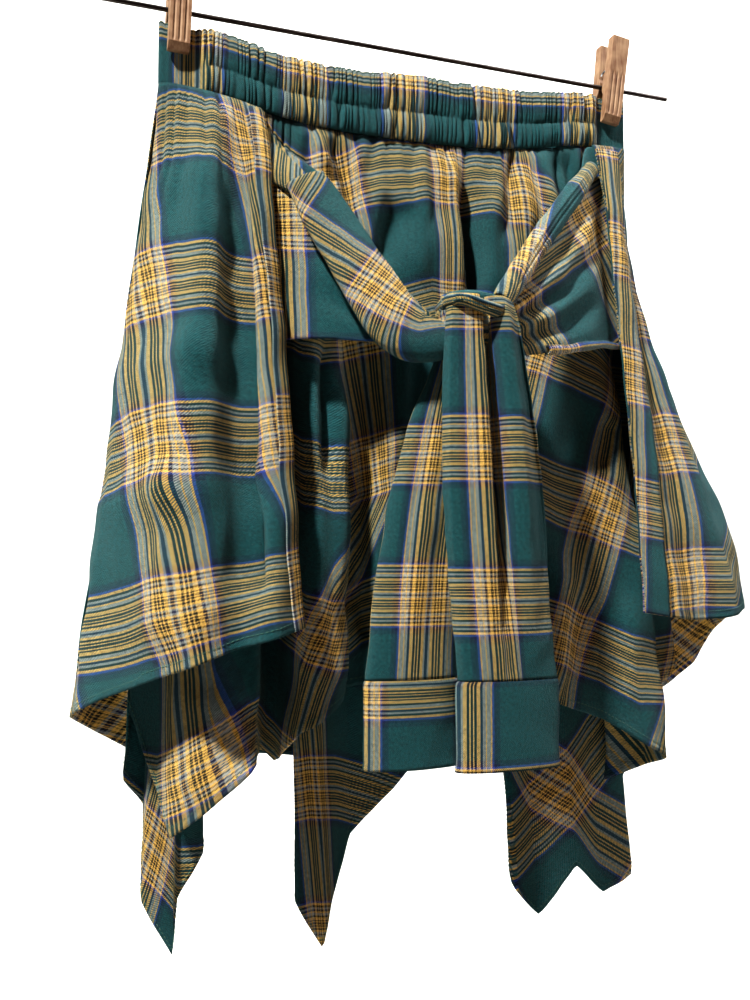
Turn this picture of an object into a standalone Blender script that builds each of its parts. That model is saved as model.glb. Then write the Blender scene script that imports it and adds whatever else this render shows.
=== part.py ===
"""Handkerchief skirt with a mock shirt tied round it, hung from a rod by two wooden pegs.

Run it with blender --background --python part.py. The origin is the middle of the rod.
X runs along the rod to the garment's right in a front view, -Y faces the viewer, +Z is up.
Lengths in the tables are millimetres, and MM turns them into metres.
"""

import math
from collections import namedtuple

import bmesh
import bpy
from mathutils import Euler, Matrix, Vector

MM = 0.001

# Waistband: an elastic loop with two channels, pinched where the pegs hold it
CLOTH = 1.2
BAND_WALL = 1.8
SEAM_GAP = 0.3
BAND_HALF_WIDTH = 175.0
BAND_HALF_DEPTH = 8.0
BAND_PINCH_DEPTH = 2.2
BAND_SEAM_EDGE = 0.9
BAND_GATHERS = 104
BAND_RIPPLE = 1.5
PEG_X = 163.0
PINCH_REACH = 16.0

# Heights of the band's top edge and of the waist seam, at even steps along its width
Sag = namedtuple("Sag", "top seam")
BAND_SAG = (
    Sag(-9.0, -50.0),
    Sag(-14.5, -56.0),
    Sag(-23.0, -64.5),
    Sag(-24.0, -67.0),
    Sag(-20.5, -66.5),
    Sag(-20.0, -64.5),
    Sag(-18.0, -59.5),
    Sag(-12.0, -51.0),
    Sag(-8.5, -46.5),
)

# The band's section down its height: puffed channels between the stitch lines
BandRow = namedtuple("BandRow", "share puff ripple")
BAND_ROWS = (
    BandRow(0.00, 0.0, 0.8),
    BandRow(0.27, 1.4, 1.0),
    BandRow(0.53, 0.0, 0.3),
    BandRow(0.77, 1.4, 1.0),
    BandRow(1.00, 0.0, 0.2),
)

# Each layer sewn under the band keeps its own place in the seam
BASE_DEPTH, OVERLAY_DEPTH = 6.2, 10.2
BASE_WIDTH, OVERLAY_WIDTH = 171.0, 175.0
GATHER_HEIGHT = 26.0
HEM_STRAIGHT = 0.8
FADE = 6.0

# A panel has one row for each fold that runs down it: where the fold leaves the waist seam,
# where it ends at the hem, how late it spreads and how fast it deepens on the way down, and
# the columns to the next fold
Fold = namedtuple("Fold", "waist_x hem_x hem_y hem_z late swell columns")

SKIRT_FRONT = (
    Fold(-171, -188, 9, -452, 0.0, 1.0, 2),
    Fold(-160, -171, -4, -500, 0.0, 0.9, 2),
    Fold(-150, -166, -22, -526, 0.0, 0.8, 3),
    Fold(-128, -143, -43, -503, 0.0, 0.8, 3),
    Fold(-108, -121, -52, -482, 0.0, 0.8, 2),
    Fold(-102, -115, -30, -477, 0.0, 1.0, 1),
    Fold(-98, -107, -10, -478, 0.0, 1.0, 1),
    Fold(-94, -98, -14, -486, 0.0, 1.0, 2),
    Fold(-88, -91, -44, -464, 0.0, 0.9, 2),
    Fold(-76, -79, -51, -457, 0.0, 0.8, 2),
    Fold(-68, -68, -46, -450, 0.0, 0.8, 2),
    Fold(-60, -61, -36, -446, 0.0, 0.8, 2),
    Fold(-48, -56, -22, -440, 0.0, 0.9, 3),
    Fold(-10, -10, -30, -434, 0.0, 0.8, 4),
    Fold(35, 45, -36, -440, 0.0, 0.8, 4),
    Fold(80, 90, -47, -455, 0.0, 0.7, 3),
    Fold(105, 125, -42, -467, 0.3, 0.7, 3),
    Fold(128, 160, -44, -487, 0.6, 0.7, 2),
    Fold(142, 181, -38, -497, 0.8, 0.8, 2),
    Fold(150, 176, -16, -506, 0.8, 1.0, 2),
    Fold(158, 152, 0, -519, 0.8, 1.1, 2),
    Fold(164, 180, 6, -490, 0.8, 1.1, 2),
    Fold(171, 222, 11, -440, 1.0, 1.0, 0),
)
SKIRT_BACK = (
    Fold(-171, -188, 12, -452, 0.0, 1.0, 2),
    Fold(-168, -190, 20, -497, 0.0, 1.0, 2),
    Fold(-163, -176, 22, -515, 0.0, 1.0, 1),
    Fold(-160, -179, 8, -570, 0.0, 1.0, 2),
    Fold(-155, -160, 5, -605, 0.0, 1.0, 1),
    Fold(-149, -157, 8, -572, 0.0, 1.0, 1),
    Fold(-142, -139, 12, -544, 0.0, 1.0, 2),
    Fold(-134, -146, 26, -515, 0.0, 1.0, 3),
    Fold(-112, -118, 16, -484, 0.0, 1.0, 2),
    Fold(-92, -74, 22, -490, 0.0, 1.0, 1),
    Fold(-88, -81, 2, -580, 0.0, 1.0, 2),
    Fold(-78, -63, -2, -611, 0.0, 1.0, 1),
    Fold(-70, -56, 0, -580, 0.0, 1.0, 2),
    Fold(-56, -43, 3, -540, 0.0, 1.0, 2),
    Fold(-34, -8, 6, -510, 0.0, 1.0, 3),
    Fold(0, 30, 20, -478, 0.0, 1.0, 3),
    Fold(40, 84, 26, -480, 0.0, 1.0, 1),
    Fold(46, 77, 2, -586, 0.0, 1.0, 2),
    Fold(60, 95, -2, -607, 0.0, 1.0, 2),
    Fold(84, 131, 5, -579, 0.0, 1.0, 2),
    Fold(98, 154, 8, -601, 0.3, 1.0, 2),
    Fold(118, 181, 12, -592, 0.5, 1.0, 1),
    Fold(132, 180, 24, -530, 0.6, 1.0, 2),
    Fold(152, 206, 22, -470, 0.8, 1.0, 2),
    Fold(171, 222, 14, -440, 1.0, 1.0, 0),
)
OVERLAY_LEFT = (
    Fold(-110, -96, -64, -398, 0.0, 0.62, 3),
    Fold(-122, -118, -78, -404, 0.0, 0.60, 2),
    Fold(-132, -136, -70, -409, 0.0, 0.64, 2),
    Fold(-142, -156, -72, -416, 0.0, 0.58, 3),
    Fold(-154, -180, -48, -427, 0.0, 0.60, 3),
    Fold(-164, -204, -24, -439, 0.0, 0.65, 3),
    Fold(-171, -222, 4, -451, 0.0, 0.80, 2),
    Fold(-175, -222, 30, -458, 0.0, 1.00, 0),
)
OVERLAY_RIGHT = (
    Fold(142, 150, -56, -394, 0.0, 0.65, 3),
    Fold(149, 176, -54, -398, 0.4, 0.65, 3),
    Fold(156, 204, -40, -401, 0.7, 0.65, 3),
    Fold(163, 234, -38, -400, 0.9, 0.70, 3),
    Fold(169, 260, -20, -397, 1.0, 0.80, 3),
    Fold(173, 283, 4, -395, 1.0, 0.90, 3),
    Fold(175, 291, 30, -402, 1.0, 1.00, 0),
)
OVERLAY_BACK = (
    Fold(-175, -222, 31, -458, 0.0, 1.0, 2),
    Fold(-162, -206, 48, -470, 0.0, 0.8, 3),
    Fold(-138, -170, 58, -491, 0.0, 0.7, 3),
    Fold(-112, -130, 46, -480, 0.0, 0.7, 3),
    Fold(-80, -90, 64, -488, 0.0, 0.7, 3),
    Fold(-44, -50, 48, -482, 0.0, 0.7, 3),
    Fold(-8, -10, 66, -490, 0.0, 0.7, 3),
    Fold(28, 38, 48, -480, 0.0, 0.7, 3),
    Fold(62, 88, 64, -484, 0.0, 0.7, 3),
    Fold(94, 140, 48, -478, 0.2, 0.7, 3),
    Fold(122, 196, 62, -472, 0.5, 0.7, 3),
    Fold(146, 244, 58, -463, 0.8, 0.8, 2),
    Fold(160, 278, 60, -442, 1.0, 0.9, 2),
    Fold(169, 288, 54, -422, 1.0, 0.9, 2),
    Fold(175, 291, 31, -402, 1.0, 1.0, 0),
)

PANEL_LEVELS = (0.0, 0.03, 0.08, 0.15, 0.25, 0.37, 0.50, 0.63, 0.76, 0.88, 1.0)
OVERLAY_LEVELS = (0.0, 0.04, 0.10, 0.20, 0.32, 0.46, 0.60, 0.74, 0.87, 1.0)

# Plackets: the right one is a wide band, the left one a narrow turned edge
PLACKET_WALL = 1.0
PLACKET_GAP = 0.7
RIGHT_PLACKET_WIDTH = 21.0
LEFT_PLACKET_WIDTH = 9.0
STRIP_SHARES = (0.0, 0.2, 0.4, 0.6, 0.8, 1.0)

# Sleeves: one row for each section from the side seam to the knot, upper edge then lower edge
Section = namedtuple("Section", "top_x top_y top_z low_x low_y low_z pleat columns")

SLEEVE_WALL = 1.4
SLEEVE_PLEATS = 3.5
SLEEVE_SWELL = 0.7
SLEEVE_ROWS = 16
SLEEVE_LEFT = (
    Section(-116, -8.5, -62.2, -112, -36, -222, 0.0, 2),
    Section(-95, -17, -89, -98, -42, -220, 0.5, 2),
    Section(-77, -31, -107, -78, -47, -219, 2.0, 2),
    Section(-52, -45, -145, -56, -54, -220, 3.0, 2),
    Section(-33, -57, -179, -34, -61, -226, 2.4, 2),
    Section(-14, -68, -203, -14, -70, -228, 1.0, 0),
)
SLEEVE_RIGHT = (
    Section(150, -7.4, -49.6, 156, -27, -204, 0.0, 2),
    Section(139, -7.8, -51.6, 143, -31, -205, 0.5, 2),
    Section(120, -26, -84, 124, -46, -208, 2.0, 2),
    Section(95, -42, -118, 104, -54, -212, 3.0, 2),
    Section(68, -58, -150, 76, -64, -220, 3.5, 2),
    Section(38, -70, -186, 38, -72, -228, 3.5, 0),
)

# Knot and the two hanging tails
KNOT_CENTRE = (12.0, -75.0, -208.0)
KNOT_HALF = (25.8, 15.0, 21.5)
KNOT_SEGMENTS, KNOT_RINGS = 20, 12

Ring = namedtuple("Ring", "z x half_width y half_depth fold")

TAIL_WALL = 1.4
TAIL_COLUMNS = 24
TAIL_RIGHT = (
    Ring(-230.0, 16, 18, -81, 8, 0.4),
    Ring(-262.0, 17, 31, -84, 11, 1.6),
    Ring(-325.0, 21, 34, -86, 11, 2.2),
    Ring(-380.0, 23, 33, -87, 11, 1.8),
    Ring(-430.7, 29, 33, -87, 9, 0.6),
)
TAIL_LEFT = (
    Ring(-229.8, 5, 14, -66, 5, 0.4),
    Ring(-280.0, -3, 25, -63, 8, 1.4),
    Ring(-330.0, -13, 29, -64, 9, 1.8),
    Ring(-380.0, -21, 29, -64, 9, 1.6),
    Ring(-430.7, -26, 29, -64, 8, 0.6),
)
CUFF_WALL = 2.0
CUFF_HEIGHT = 54.0
CUFF_SPREAD = 1.5

# Rod and pegs
ROD_RADIUS = 1.6
ROD_HALF_LENGTH = 215.0
PEG_WIDTH = 14.0
PEG_LEANS = {"left": math.radians(2.0), "right": math.radians(7.0)}

# Side outline of the front leg, from its jaw tip up the inner face and back down the outer face
Corner = namedtuple("Corner", "y z")
PEG_LEG = (
    Corner(-4.1, -30.0),
    Corner(-4.1, -8.0),
    Corner(-2.0, -4.5),
    Corner(-2.0, 4.5),
    Corner(-4.2, 8.0),
    Corner(-4.2, 12.5),
    Corner(-5.0, 36.0),
    Corner(-12.5, 36.0),
    Corner(-11.5, 8.0),
    Corner(-10.5, -27.0),
    Corner(-8.5, -30.0),
)
SPRING_RADIUS = 3.1
SPRING_WIRE = 0.6
SPRING_Z = 10.0
SPRING_LENGTH = 11.0
SPRING_TURNS = 3
SPRING_STEPS = 9

FINISHES = {
    "cloth_green": ((0.045, 0.150, 0.120, 1.0), 0.92, 0.0),
    "cloth_khaki": ((0.330, 0.250, 0.110, 1.0), 0.92, 0.0),
    "cloth_blue": ((0.080, 0.100, 0.200, 1.0), 0.92, 0.0),
    "peg_wood": ((0.600, 0.380, 0.190, 1.0), 0.65, 0.0),
    "dark_steel": ((0.060, 0.055, 0.055, 1.0), 0.40, 1.0),
}


def clear_scene():
    for old in list(bpy.data.objects):
        bpy.data.objects.remove(old, do_unlink=True)


def material(name):
    colour, roughness, metallic = FINISHES[name]
    made = bpy.data.materials.get(name) or bpy.data.materials.new(name)
    made.use_nodes = True
    shader = made.node_tree.nodes["Principled BSDF"]
    shader.inputs["Base Color"].default_value = colour
    shader.inputs["Roughness"].default_value = roughness
    shader.inputs["Metallic"].default_value = metallic
    made.diffuse_color = colour
    return made


def steady_slopes(values):
    """Slopes of a curve through values one apart that never overshoots them."""
    steps = [b - a for a, b in zip(values, values[1:])]
    slopes = [steps[0]]
    for before, after in zip(steps, steps[1:]):
        turns = before * after <= 0
        slopes.append(0.0 if turns else 2 * before * after / (before + after))
    return slopes + [steps[-1]]


def read_curve(values, slopes, at):
    """The smooth curve through values, read at a place counted in rows."""
    row = min(int(at), len(values) - 2)
    t = at - row
    rise = values[row + 1] - values[row]
    square, cube = t * t, t * t * t
    return (
        values[row]
        + rise * (3 * square - 2 * cube)
        + slopes[row] * (cube - 2 * square + t)
        + slopes[row + 1] * (cube - square)
    )


def column_places(rows):
    """Places in rows of a table where a mesh column runs, from each row's own count."""
    places = []
    for number, row in enumerate(rows[:-1]):
        places += [number + part / row.columns for part in range(row.columns)]
    return places + [len(rows) - 1.0]


def read_table(rows, at):
    """One row of a table read between its rows."""
    fields = list(zip(*rows))
    return type(rows[0])(*(read_curve(f, steady_slopes(f), at) for f in fields))


def read_straight(rows, at):
    """One row of a table read straight between its rows."""
    low = min(int(at), len(rows) - 2)
    return type(rows[0])(*(a + (b - a) * (at - low) for a, b in zip(rows[low], rows[low + 1])))


def sag_at(x):
    """The band's top and seam heights at a place along its width."""
    share = (x / BAND_HALF_WIDTH + 1) / 2
    return read_table(BAND_SAG, share * (len(BAND_SAG) - 1))


def waist_point(x, half_width, half_depth, side):
    """A place on a layer's waist seam; side is -1 at the front and 1 at the back."""
    share = min(1.0, abs(x) / half_width)
    y = BAND_SEAM_EDGE + (half_depth - BAND_SEAM_EDGE) * math.sqrt(1 - share**8)
    return Vector((x, side * y, sag_at(x).seam - SEAM_GAP))


def grid_object(name, grid, finish, wall, wraps=False):
    """A sheet of cloth from rows of points in millimetres, given its wall by Solidify."""
    width = len(grid[0])
    vertices = [point * MM for row in grid for point in row]
    faces = []
    for j in range(len(grid) - 1):
        for i in range(width if wraps else width - 1):
            right = (i + 1) % width
            faces.append((j * width + i, (j + 1) * width + i, (j + 1) * width + right, j * width + right))
    mesh = bpy.data.meshes.new(name)
    mesh.from_pydata(vertices, [], faces)
    made = bpy.data.objects.new(name, mesh)
    COLLECTION.objects.link(made)
    mesh.materials.append(material(finish))
    solid = made.modifiers.new("wall", "SOLIDIFY")
    solid.thickness = wall * MM
    solid.offset = 0.0
    return made


def uneven(column):
    """A gather's zigzag, in or out by turns and never twice as deep."""
    return (-1) ** column * (0.75 + 0.25 * math.sin(2.4 * column))


def spread_at(level, late):
    """How far a fold has moved from its waist place to its hem place; late ones hold back."""
    slow = level**1.4
    return level + late * (slow * slow * (3 - 2 * slow) - level)


def pinch(x):
    """1 where a peg holds the band, falling to 0 beside it."""
    return math.exp(-(((abs(x) - PEG_X) / PINCH_REACH) ** 6))


def band_grid():
    """Rows of points round the elastic loop, zigzagging at each gather."""
    columns = 2 * BAND_GATHERS
    grid = []
    for row in BAND_ROWS:
        points = []
        for i in range(columns):
            turn = 2 * math.pi * (i + 0.5) / columns
            run = 2 * turn / math.pi - 1
            x = BAND_HALF_WIDTH * (run if run < 1 else 2 - run)
            side = -1 if turn < math.pi else 1
            held = pinch(x)
            depth = BAND_HALF_DEPTH + (BAND_PINCH_DEPTH - BAND_HALF_DEPTH) * held
            ripple = BAND_RIPPLE * row.ripple * uneven(i) * (1 - 0.9 * held)
            end = math.sqrt(1 - (abs(x) / BAND_HALF_WIDTH) ** 8)
            y = side * (depth + row.puff * (1 - held) + ripple) * end
            sag = sag_at(x)
            points.append(Vector((x, y, sag.top + (sag.seam - sag.top) * row.share)))
        grid.append(points)
    return grid


def panel_grid(folds, levels, half_width, half_depth, side, ripple, plain=0.0):
    """Rows of points of a gathered panel, from the waist seam down to its hem.

    The stretch named plain, from the first fold on, lies under a placket and isn't gathered.
    """
    places = column_places(folds)
    read = [read_table(folds, at) for at in places]
    lines = [read_straight(folds, at) for at in places]
    grid = []
    for level in levels:
        points = []
        for i, (fold, line) in enumerate(zip(read, lines)):
            top = waist_point(fold.waist_x, half_width, half_depth, side)
            spread, depth = spread_at(level, fold.late), level**fold.swell
            hem_x = fold.hem_x + HEM_STRAIGHT * (line.hem_x - fold.hem_x)
            hem_z = fold.hem_z + HEM_STRAIGHT * (line.hem_z - fold.hem_z)
            point = Vector((
                top.x + (hem_x - top.x) * spread,
                top.y + (fold.hem_y - top.y) * depth,
                top.z + (hem_z - top.z) * level,
            ))
            drop = (top.z - point.z) / GATHER_HEIGHT
            loose = min(1.0, max(0.0, abs(fold.waist_x - folds[0].waist_x) / FADE - plain / FADE))
            point.y += loose * ripple * uneven(i) * drop * math.exp(1 - drop)
            points.append(point)
        grid.append(points)
    return grid


def offset_strip(grid, width, lift):
    """A strip along a panel's first column, moved out along the panel's own normals."""
    strip = []
    for j, row in enumerate(grid):
        above, below = grid[max(j - 1, 0)], grid[min(j + 1, len(grid) - 1)]
        points = []
        for share in STRIP_SHARES:
            point, along = walk(row, share * width)
            down = walk(below, share * width)[0] - walk(above, share * width)[0]
            normal = along.cross(down).normalized()
            if normal.y > 0:
                normal = -normal
            points.append(point + normal * lift)
        strip.append(points)
    return strip


def walk(row, distance):
    """The point at a distance along a row of points, and the direction there."""
    for start, end in zip(row, row[1:]):
        step = end - start
        if distance <= step.length:
            return start + step.normalized() * distance, step.normalized()
        distance -= step.length
    return row[-1], (row[-1] - row[-2]).normalized()


def sleeve_grid(sections):
    """A sleeve from its side seam to the knot, fanned out in pleats."""
    columns = [read_table(sections, at) for at in column_places(sections)]
    grid = []
    for j in range(SLEEVE_ROWS + 1):
        share = j / SLEEVE_ROWS
        points = []
        for cut in columns:
            top = Vector((cut.top_x, cut.top_y, cut.top_z))
            low = Vector((cut.low_x, cut.low_y, cut.low_z))
            point = top.lerp(low, share)
            point.y = top.y + (low.y - top.y) * share**SLEEVE_SWELL
            point.y -= cut.pleat * math.sin(2 * math.pi * SLEEVE_PLEATS * share) * math.sin(math.pi * share)
            points.append(point)
        grid.append(points)
    return grid


def tube_grid(rings, columns):
    """A hanging tail: an open tube of flattened rings with soft folds."""
    grid = []
    for ring in rings:
        points = []
        for i in range(columns):
            turn = 2 * math.pi * i / columns
            wave = ring.fold * math.sin(3 * turn + 0.6)
            x = ring.x + ring.half_width * math.cos(turn)
            y = ring.y + (ring.half_depth + wave) * math.sin(turn)
            points.append(Vector((x, y, ring.z)))
        grid.append(points)
    return grid


def cuff_grid(end):
    """An open cuff hung under the last ring of a tail."""
    top = end.z - SEAM_GAP
    rings = [
        end._replace(z=top - CUFF_HEIGHT * share, half_width=end.half_width + CUFF_SPREAD, fold=0.0)
        for share in (0.0, 0.5, 1.0)
    ]
    return tube_grid(rings, TAIL_COLUMNS)


def make_knot():
    shape = bmesh.new()
    bmesh.ops.create_uvsphere(shape, u_segments=KNOT_SEGMENTS, v_segments=KNOT_RINGS, radius=1.0)
    for vertex in shape.verts:
        place = vertex.co
        square = max(abs(place.x), abs(place.y), abs(place.z)) ** 0.35
        vertex.co = Vector((
            (KNOT_CENTRE[axis] + KNOT_HALF[axis] * place[axis] / square) * MM for axis in range(3)
        ))
    mesh = bpy.data.meshes.new("knot")
    shape.to_mesh(mesh)
    shape.free()
    made = bpy.data.objects.new("knot", mesh)
    COLLECTION.objects.link(made)
    mesh.materials.append(material("cloth_green"))
    return made


def curve_object(name, points, radius, finish, closed=False):
    """A wire through points in millimetres."""
    curve = bpy.data.curves.new(name, "CURVE")
    curve.dimensions = "3D"
    curve.bevel_depth = radius * MM
    curve.bevel_resolution = 2
    curve.use_fill_caps = True
    line = curve.splines.new("POLY")
    line.points.add(len(points) - 1)
    for place, point in zip(line.points, points):
        place.co = (*(point * MM), 1.0)
    line.use_cyclic_u = closed
    made = bpy.data.objects.new(name, curve)
    COLLECTION.objects.link(made)
    curve.materials.append(material(finish))
    return made


def peg_leg(name, x, facing, lean):
    """One wooden leg; facing is 1 for the front leg and -1 for the back one."""
    curve = bpy.data.curves.new(name, "CURVE")
    curve.dimensions = "2D"
    curve.fill_mode = "BOTH"
    curve.extrude = PEG_WIDTH / 2 * MM
    line = curve.splines.new("POLY")
    line.points.add(len(PEG_LEG) - 1)
    for place, corner in zip(line.points, PEG_LEG):
        place.co = (corner.y * facing * MM, corner.z * MM, 0.0, 1.0)
    line.use_cyclic_u = True
    made = bpy.data.objects.new(name, curve)
    COLLECTION.objects.link(made)
    curve.materials.append(material("peg_wood"))
    upright = Euler((math.pi / 2, 0.0, math.pi / 2)).to_matrix().to_4x4()
    made.matrix_world = peg_place(x, lean) @ upright
    return made


def peg_place(x, lean):
    """Where a peg sits on the rod, leaning along it."""
    return Matrix.Translation((x * MM, 0.0, 0.0)) @ Matrix.Rotation(lean, 4, "Y")


def peg_spring(name, x, lean):
    """A short torsion coil between the legs, along X."""
    steps = SPRING_TURNS * SPRING_STEPS
    points = []
    for step in range(steps + 1):
        turn = 2 * math.pi * step / SPRING_STEPS
        along = SPRING_LENGTH * (step / steps - 0.5)
        points.append(Vector((along, SPRING_RADIUS * math.cos(turn), SPRING_Z + SPRING_RADIUS * math.sin(turn))))
    coil = curve_object(name, points, SPRING_WIRE, "dark_steel")
    coil.matrix_world = peg_place(x, lean)
    return coil


def make_cloth():
    grid_object("waistband", band_grid(), "cloth_khaki", BAND_WALL, wraps=True)
    front = panel_grid(SKIRT_FRONT, PANEL_LEVELS, BASE_WIDTH, BASE_DEPTH, -1, 1.6)
    grid_object("skirt_front", front, "cloth_green", CLOTH)
    back = panel_grid(SKIRT_BACK, PANEL_LEVELS, BASE_WIDTH, BASE_DEPTH, 1, 1.2)
    grid_object("skirt_back", back, "cloth_blue", CLOTH)
    left = panel_grid(
        OVERLAY_LEFT, OVERLAY_LEVELS, OVERLAY_WIDTH, OVERLAY_DEPTH, -1, 1.2, LEFT_PLACKET_WIDTH
    )
    grid_object("overlay_left", left, "cloth_khaki", CLOTH)
    right = panel_grid(
        OVERLAY_RIGHT, OVERLAY_LEVELS, OVERLAY_WIDTH, OVERLAY_DEPTH, -1, 1.0, RIGHT_PLACKET_WIDTH
    )
    grid_object("overlay_right", right, "cloth_khaki", CLOTH)
    behind = panel_grid(OVERLAY_BACK, OVERLAY_LEVELS, OVERLAY_WIDTH, OVERLAY_DEPTH, 1, 1.2)
    grid_object("overlay_back", behind, "cloth_khaki", CLOTH)
    lift = CLOTH / 2 + PLACKET_GAP + PLACKET_WALL / 2
    strip = offset_strip(left[1:], LEFT_PLACKET_WIDTH, lift)
    grid_object("placket_left", strip, "cloth_blue", PLACKET_WALL)
    strip = offset_strip(right[1:], RIGHT_PLACKET_WIDTH, lift)
    grid_object("placket_right", strip, "cloth_blue", PLACKET_WALL)
    grid_object("sleeve_left", sleeve_grid(SLEEVE_LEFT), "cloth_green", SLEEVE_WALL)
    grid_object("sleeve_right", sleeve_grid(SLEEVE_RIGHT), "cloth_green", SLEEVE_WALL)
    for side, rings in (("right", TAIL_RIGHT), ("left", TAIL_LEFT)):
        grid_object("tail_" + side, tube_grid(rings, TAIL_COLUMNS), "cloth_khaki", TAIL_WALL, wraps=True)
        grid_object("cuff_" + side, cuff_grid(rings[-1]), "cloth_green", CUFF_WALL, wraps=True)
    make_knot()


def make_hanger():
    ends = [Vector((-ROD_HALF_LENGTH, 0, 0)), Vector((ROD_HALF_LENGTH, 0, 0))]
    curve_object("rod", ends, ROD_RADIUS, "dark_steel")
    for side, x in (("left", -PEG_X), ("right", PEG_X)):
        peg_leg("peg_" + side + "_front", x, 1, PEG_LEANS[side])
        peg_leg("peg_" + side + "_back", x, -1, PEG_LEANS[side])
        peg_spring("peg_" + side + "_spring", x, PEG_LEANS[side])


clear_scene()
COLLECTION = bpy.data.collections.new("handkerchief_skirt")
bpy.context.scene.collection.children.link(COLLECTION)
make_cloth()
make_hanger()
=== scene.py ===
"""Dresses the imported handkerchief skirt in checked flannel, with its pegs, rod, light and camera.

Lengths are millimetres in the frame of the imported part: X along the rod, -Y out of the garment's
front, +Z up, the origin in the middle of the rod.
"""

import logging
import math
from dataclasses import dataclass, field
from enum import Enum
from typing import Any, ClassVar, NamedTuple, Sequence

import bmesh
import bpy
import numpy as np
from mathutils import Matrix, Vector


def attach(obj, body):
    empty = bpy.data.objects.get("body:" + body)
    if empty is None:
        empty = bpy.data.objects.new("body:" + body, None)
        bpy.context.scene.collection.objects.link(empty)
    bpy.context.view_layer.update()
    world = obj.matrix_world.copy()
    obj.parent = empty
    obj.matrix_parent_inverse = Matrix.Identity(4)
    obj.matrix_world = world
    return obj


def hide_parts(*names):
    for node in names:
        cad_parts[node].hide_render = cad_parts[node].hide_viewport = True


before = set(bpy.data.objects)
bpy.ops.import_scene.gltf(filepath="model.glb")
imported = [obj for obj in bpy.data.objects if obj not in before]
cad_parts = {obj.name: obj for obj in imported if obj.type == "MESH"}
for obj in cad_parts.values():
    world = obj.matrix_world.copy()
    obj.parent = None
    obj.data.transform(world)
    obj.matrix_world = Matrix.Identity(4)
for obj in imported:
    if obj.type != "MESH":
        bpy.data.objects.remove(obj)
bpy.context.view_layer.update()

MM = 0.001
TAU = math.tau
REPEAT = 105.0
SEAM_EDGE = 0.9
SEAM_GAP = 0.3
HEM_STRAIGHT = 0.8
HEM_STITCH = 5.0
STITCH_LIFT = 0.75
BAND_HALF_WIDTH = 175.0
LOG = logging.getLogger("skirt")

Array = np.ndarray
Material = bpy.types.Material
Object = bpy.types.Object
Socket = bpy.types.NodeSocket
Pair = tuple[float, float]
Point = tuple[float, float, float]
Rows = Sequence[Sequence[float]]


class Held(Enum):
    """How a sheet of cloth is held."""

    GATHERED = "gathered"
    FOLDED = "folded"


class Side(Enum):
    """Which way a panel's outer face looks: the sign of its Y."""

    FRONT = -1
    BACK = 1


class Yarn(Enum):
    """The dyed yarns of the check, as sRGB colours."""

    GREEN = "#1A5156"
    NAVY = "#1C2148"
    ROYAL = "#3A4FA0"
    YELLOW = "#DDB766"
    PALE = "#9EA29E"
    BLACK = "#14100C"
    DEEP = "#1B3848"


# Each half chart says how far from a band's middle every stripe starts, and its yarn
Chart = Sequence[tuple[float, Yarn]]
WARP_CHART: Chart = (
    (0.0, Yarn.NAVY), (1.1, Yarn.PALE), (2.6, Yarn.YELLOW), (5.1, Yarn.BLACK), (6.6, Yarn.YELLOW),
    (7.6, Yarn.BLACK), (9.1, Yarn.YELLOW), (10.0, Yarn.BLACK), (11.5, Yarn.YELLOW), (14.1, Yarn.NAVY),
    (15.7, Yarn.PALE), (17.8, Yarn.YELLOW), (18.6, Yarn.PALE), (21.2, Yarn.YELLOW), (22.3, Yarn.ROYAL),
    (23.7, Yarn.NAVY), (25.4, Yarn.DEEP), (28.0, Yarn.GREEN),
)
WEFT_CHART: Chart = (
    (0.0, Yarn.NAVY), (0.6, Yarn.PALE), (1.8, Yarn.YELLOW), (3.2, Yarn.BLACK), (4.4, Yarn.YELLOW),
    (5.5, Yarn.BLACK), (6.4, Yarn.YELLOW), (7.1, Yarn.BLACK), (8.6, Yarn.YELLOW), (9.4, Yarn.BLACK),
    (10.1, Yarn.YELLOW), (12.2, Yarn.BLACK), (13.5, Yarn.PALE), (15.2, Yarn.YELLOW), (16.4, Yarn.NAVY),
    (17.7, Yarn.PALE), (19.2, Yarn.BLACK), (20.6, Yarn.YELLOW), (22.3, Yarn.ROYAL), (23.7, Yarn.NAVY),
    (25.4, Yarn.DEEP), (28.0, Yarn.GREEN),
)


def linear(colour: str) -> tuple[float, ...]:
    """Turns an sRGB hex colour into linear light.

    Args:
        colour: Six hex digits after a hash sign.

    Returns:
        Red, green, blue and an alpha of one.
    """
    parts = [int(colour[i : i + 2], 16) / 255 for i in (1, 3, 5)]
    return (*(p / 12.92 if p <= 0.04045 else ((p + 0.055) / 1.055) ** 2.4 for p in parts), 1.0)


def fill(node: bpy.types.Node, inputs: dict) -> bpy.types.Node:
    """Sets or links a node's inputs.

    Args:
        node: The node.
        inputs: Values or output sockets by input name or number.

    Returns:
        The same node.
    """
    for key, value in inputs.items():
        if isinstance(value, Socket):
            node.id_data.links.new(value, node.inputs[key])
        else:
            node.inputs[key].default_value = value
    return node


def add_node(tree: bpy.types.NodeTree, kind: str, inputs: dict, **settings: Any) -> bpy.types.Node:
    """Adds a node, sets its options and fills or links its inputs.

    Args:
        tree: The tree that gets the node.
        kind: The node's type name.
        inputs: Values or output sockets by input name or number.
        **settings: The node's own options.

    Returns:
        The new node.
    """
    node = tree.nodes.new(kind)
    for key, value in settings.items():
        setattr(node, key, value)
    return fill(node, inputs)


def link_object(name: str, data: bpy.types.ID) -> Object:
    """Puts new data into the scene.

    Args:
        name: The object's name.
        data: Its mesh, curve, light or camera.

    Returns:
        The new object, unturned at the origin.
    """
    made = bpy.data.objects.new(name, data)
    bpy.context.scene.collection.objects.link(made)
    return made


def smooth(mesh: bpy.types.Mesh) -> None:
    """Shades every face of a mesh smooth."""
    mesh.polygons.foreach_set("use_smooth", [True] * len(mesh.polygons))


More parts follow.
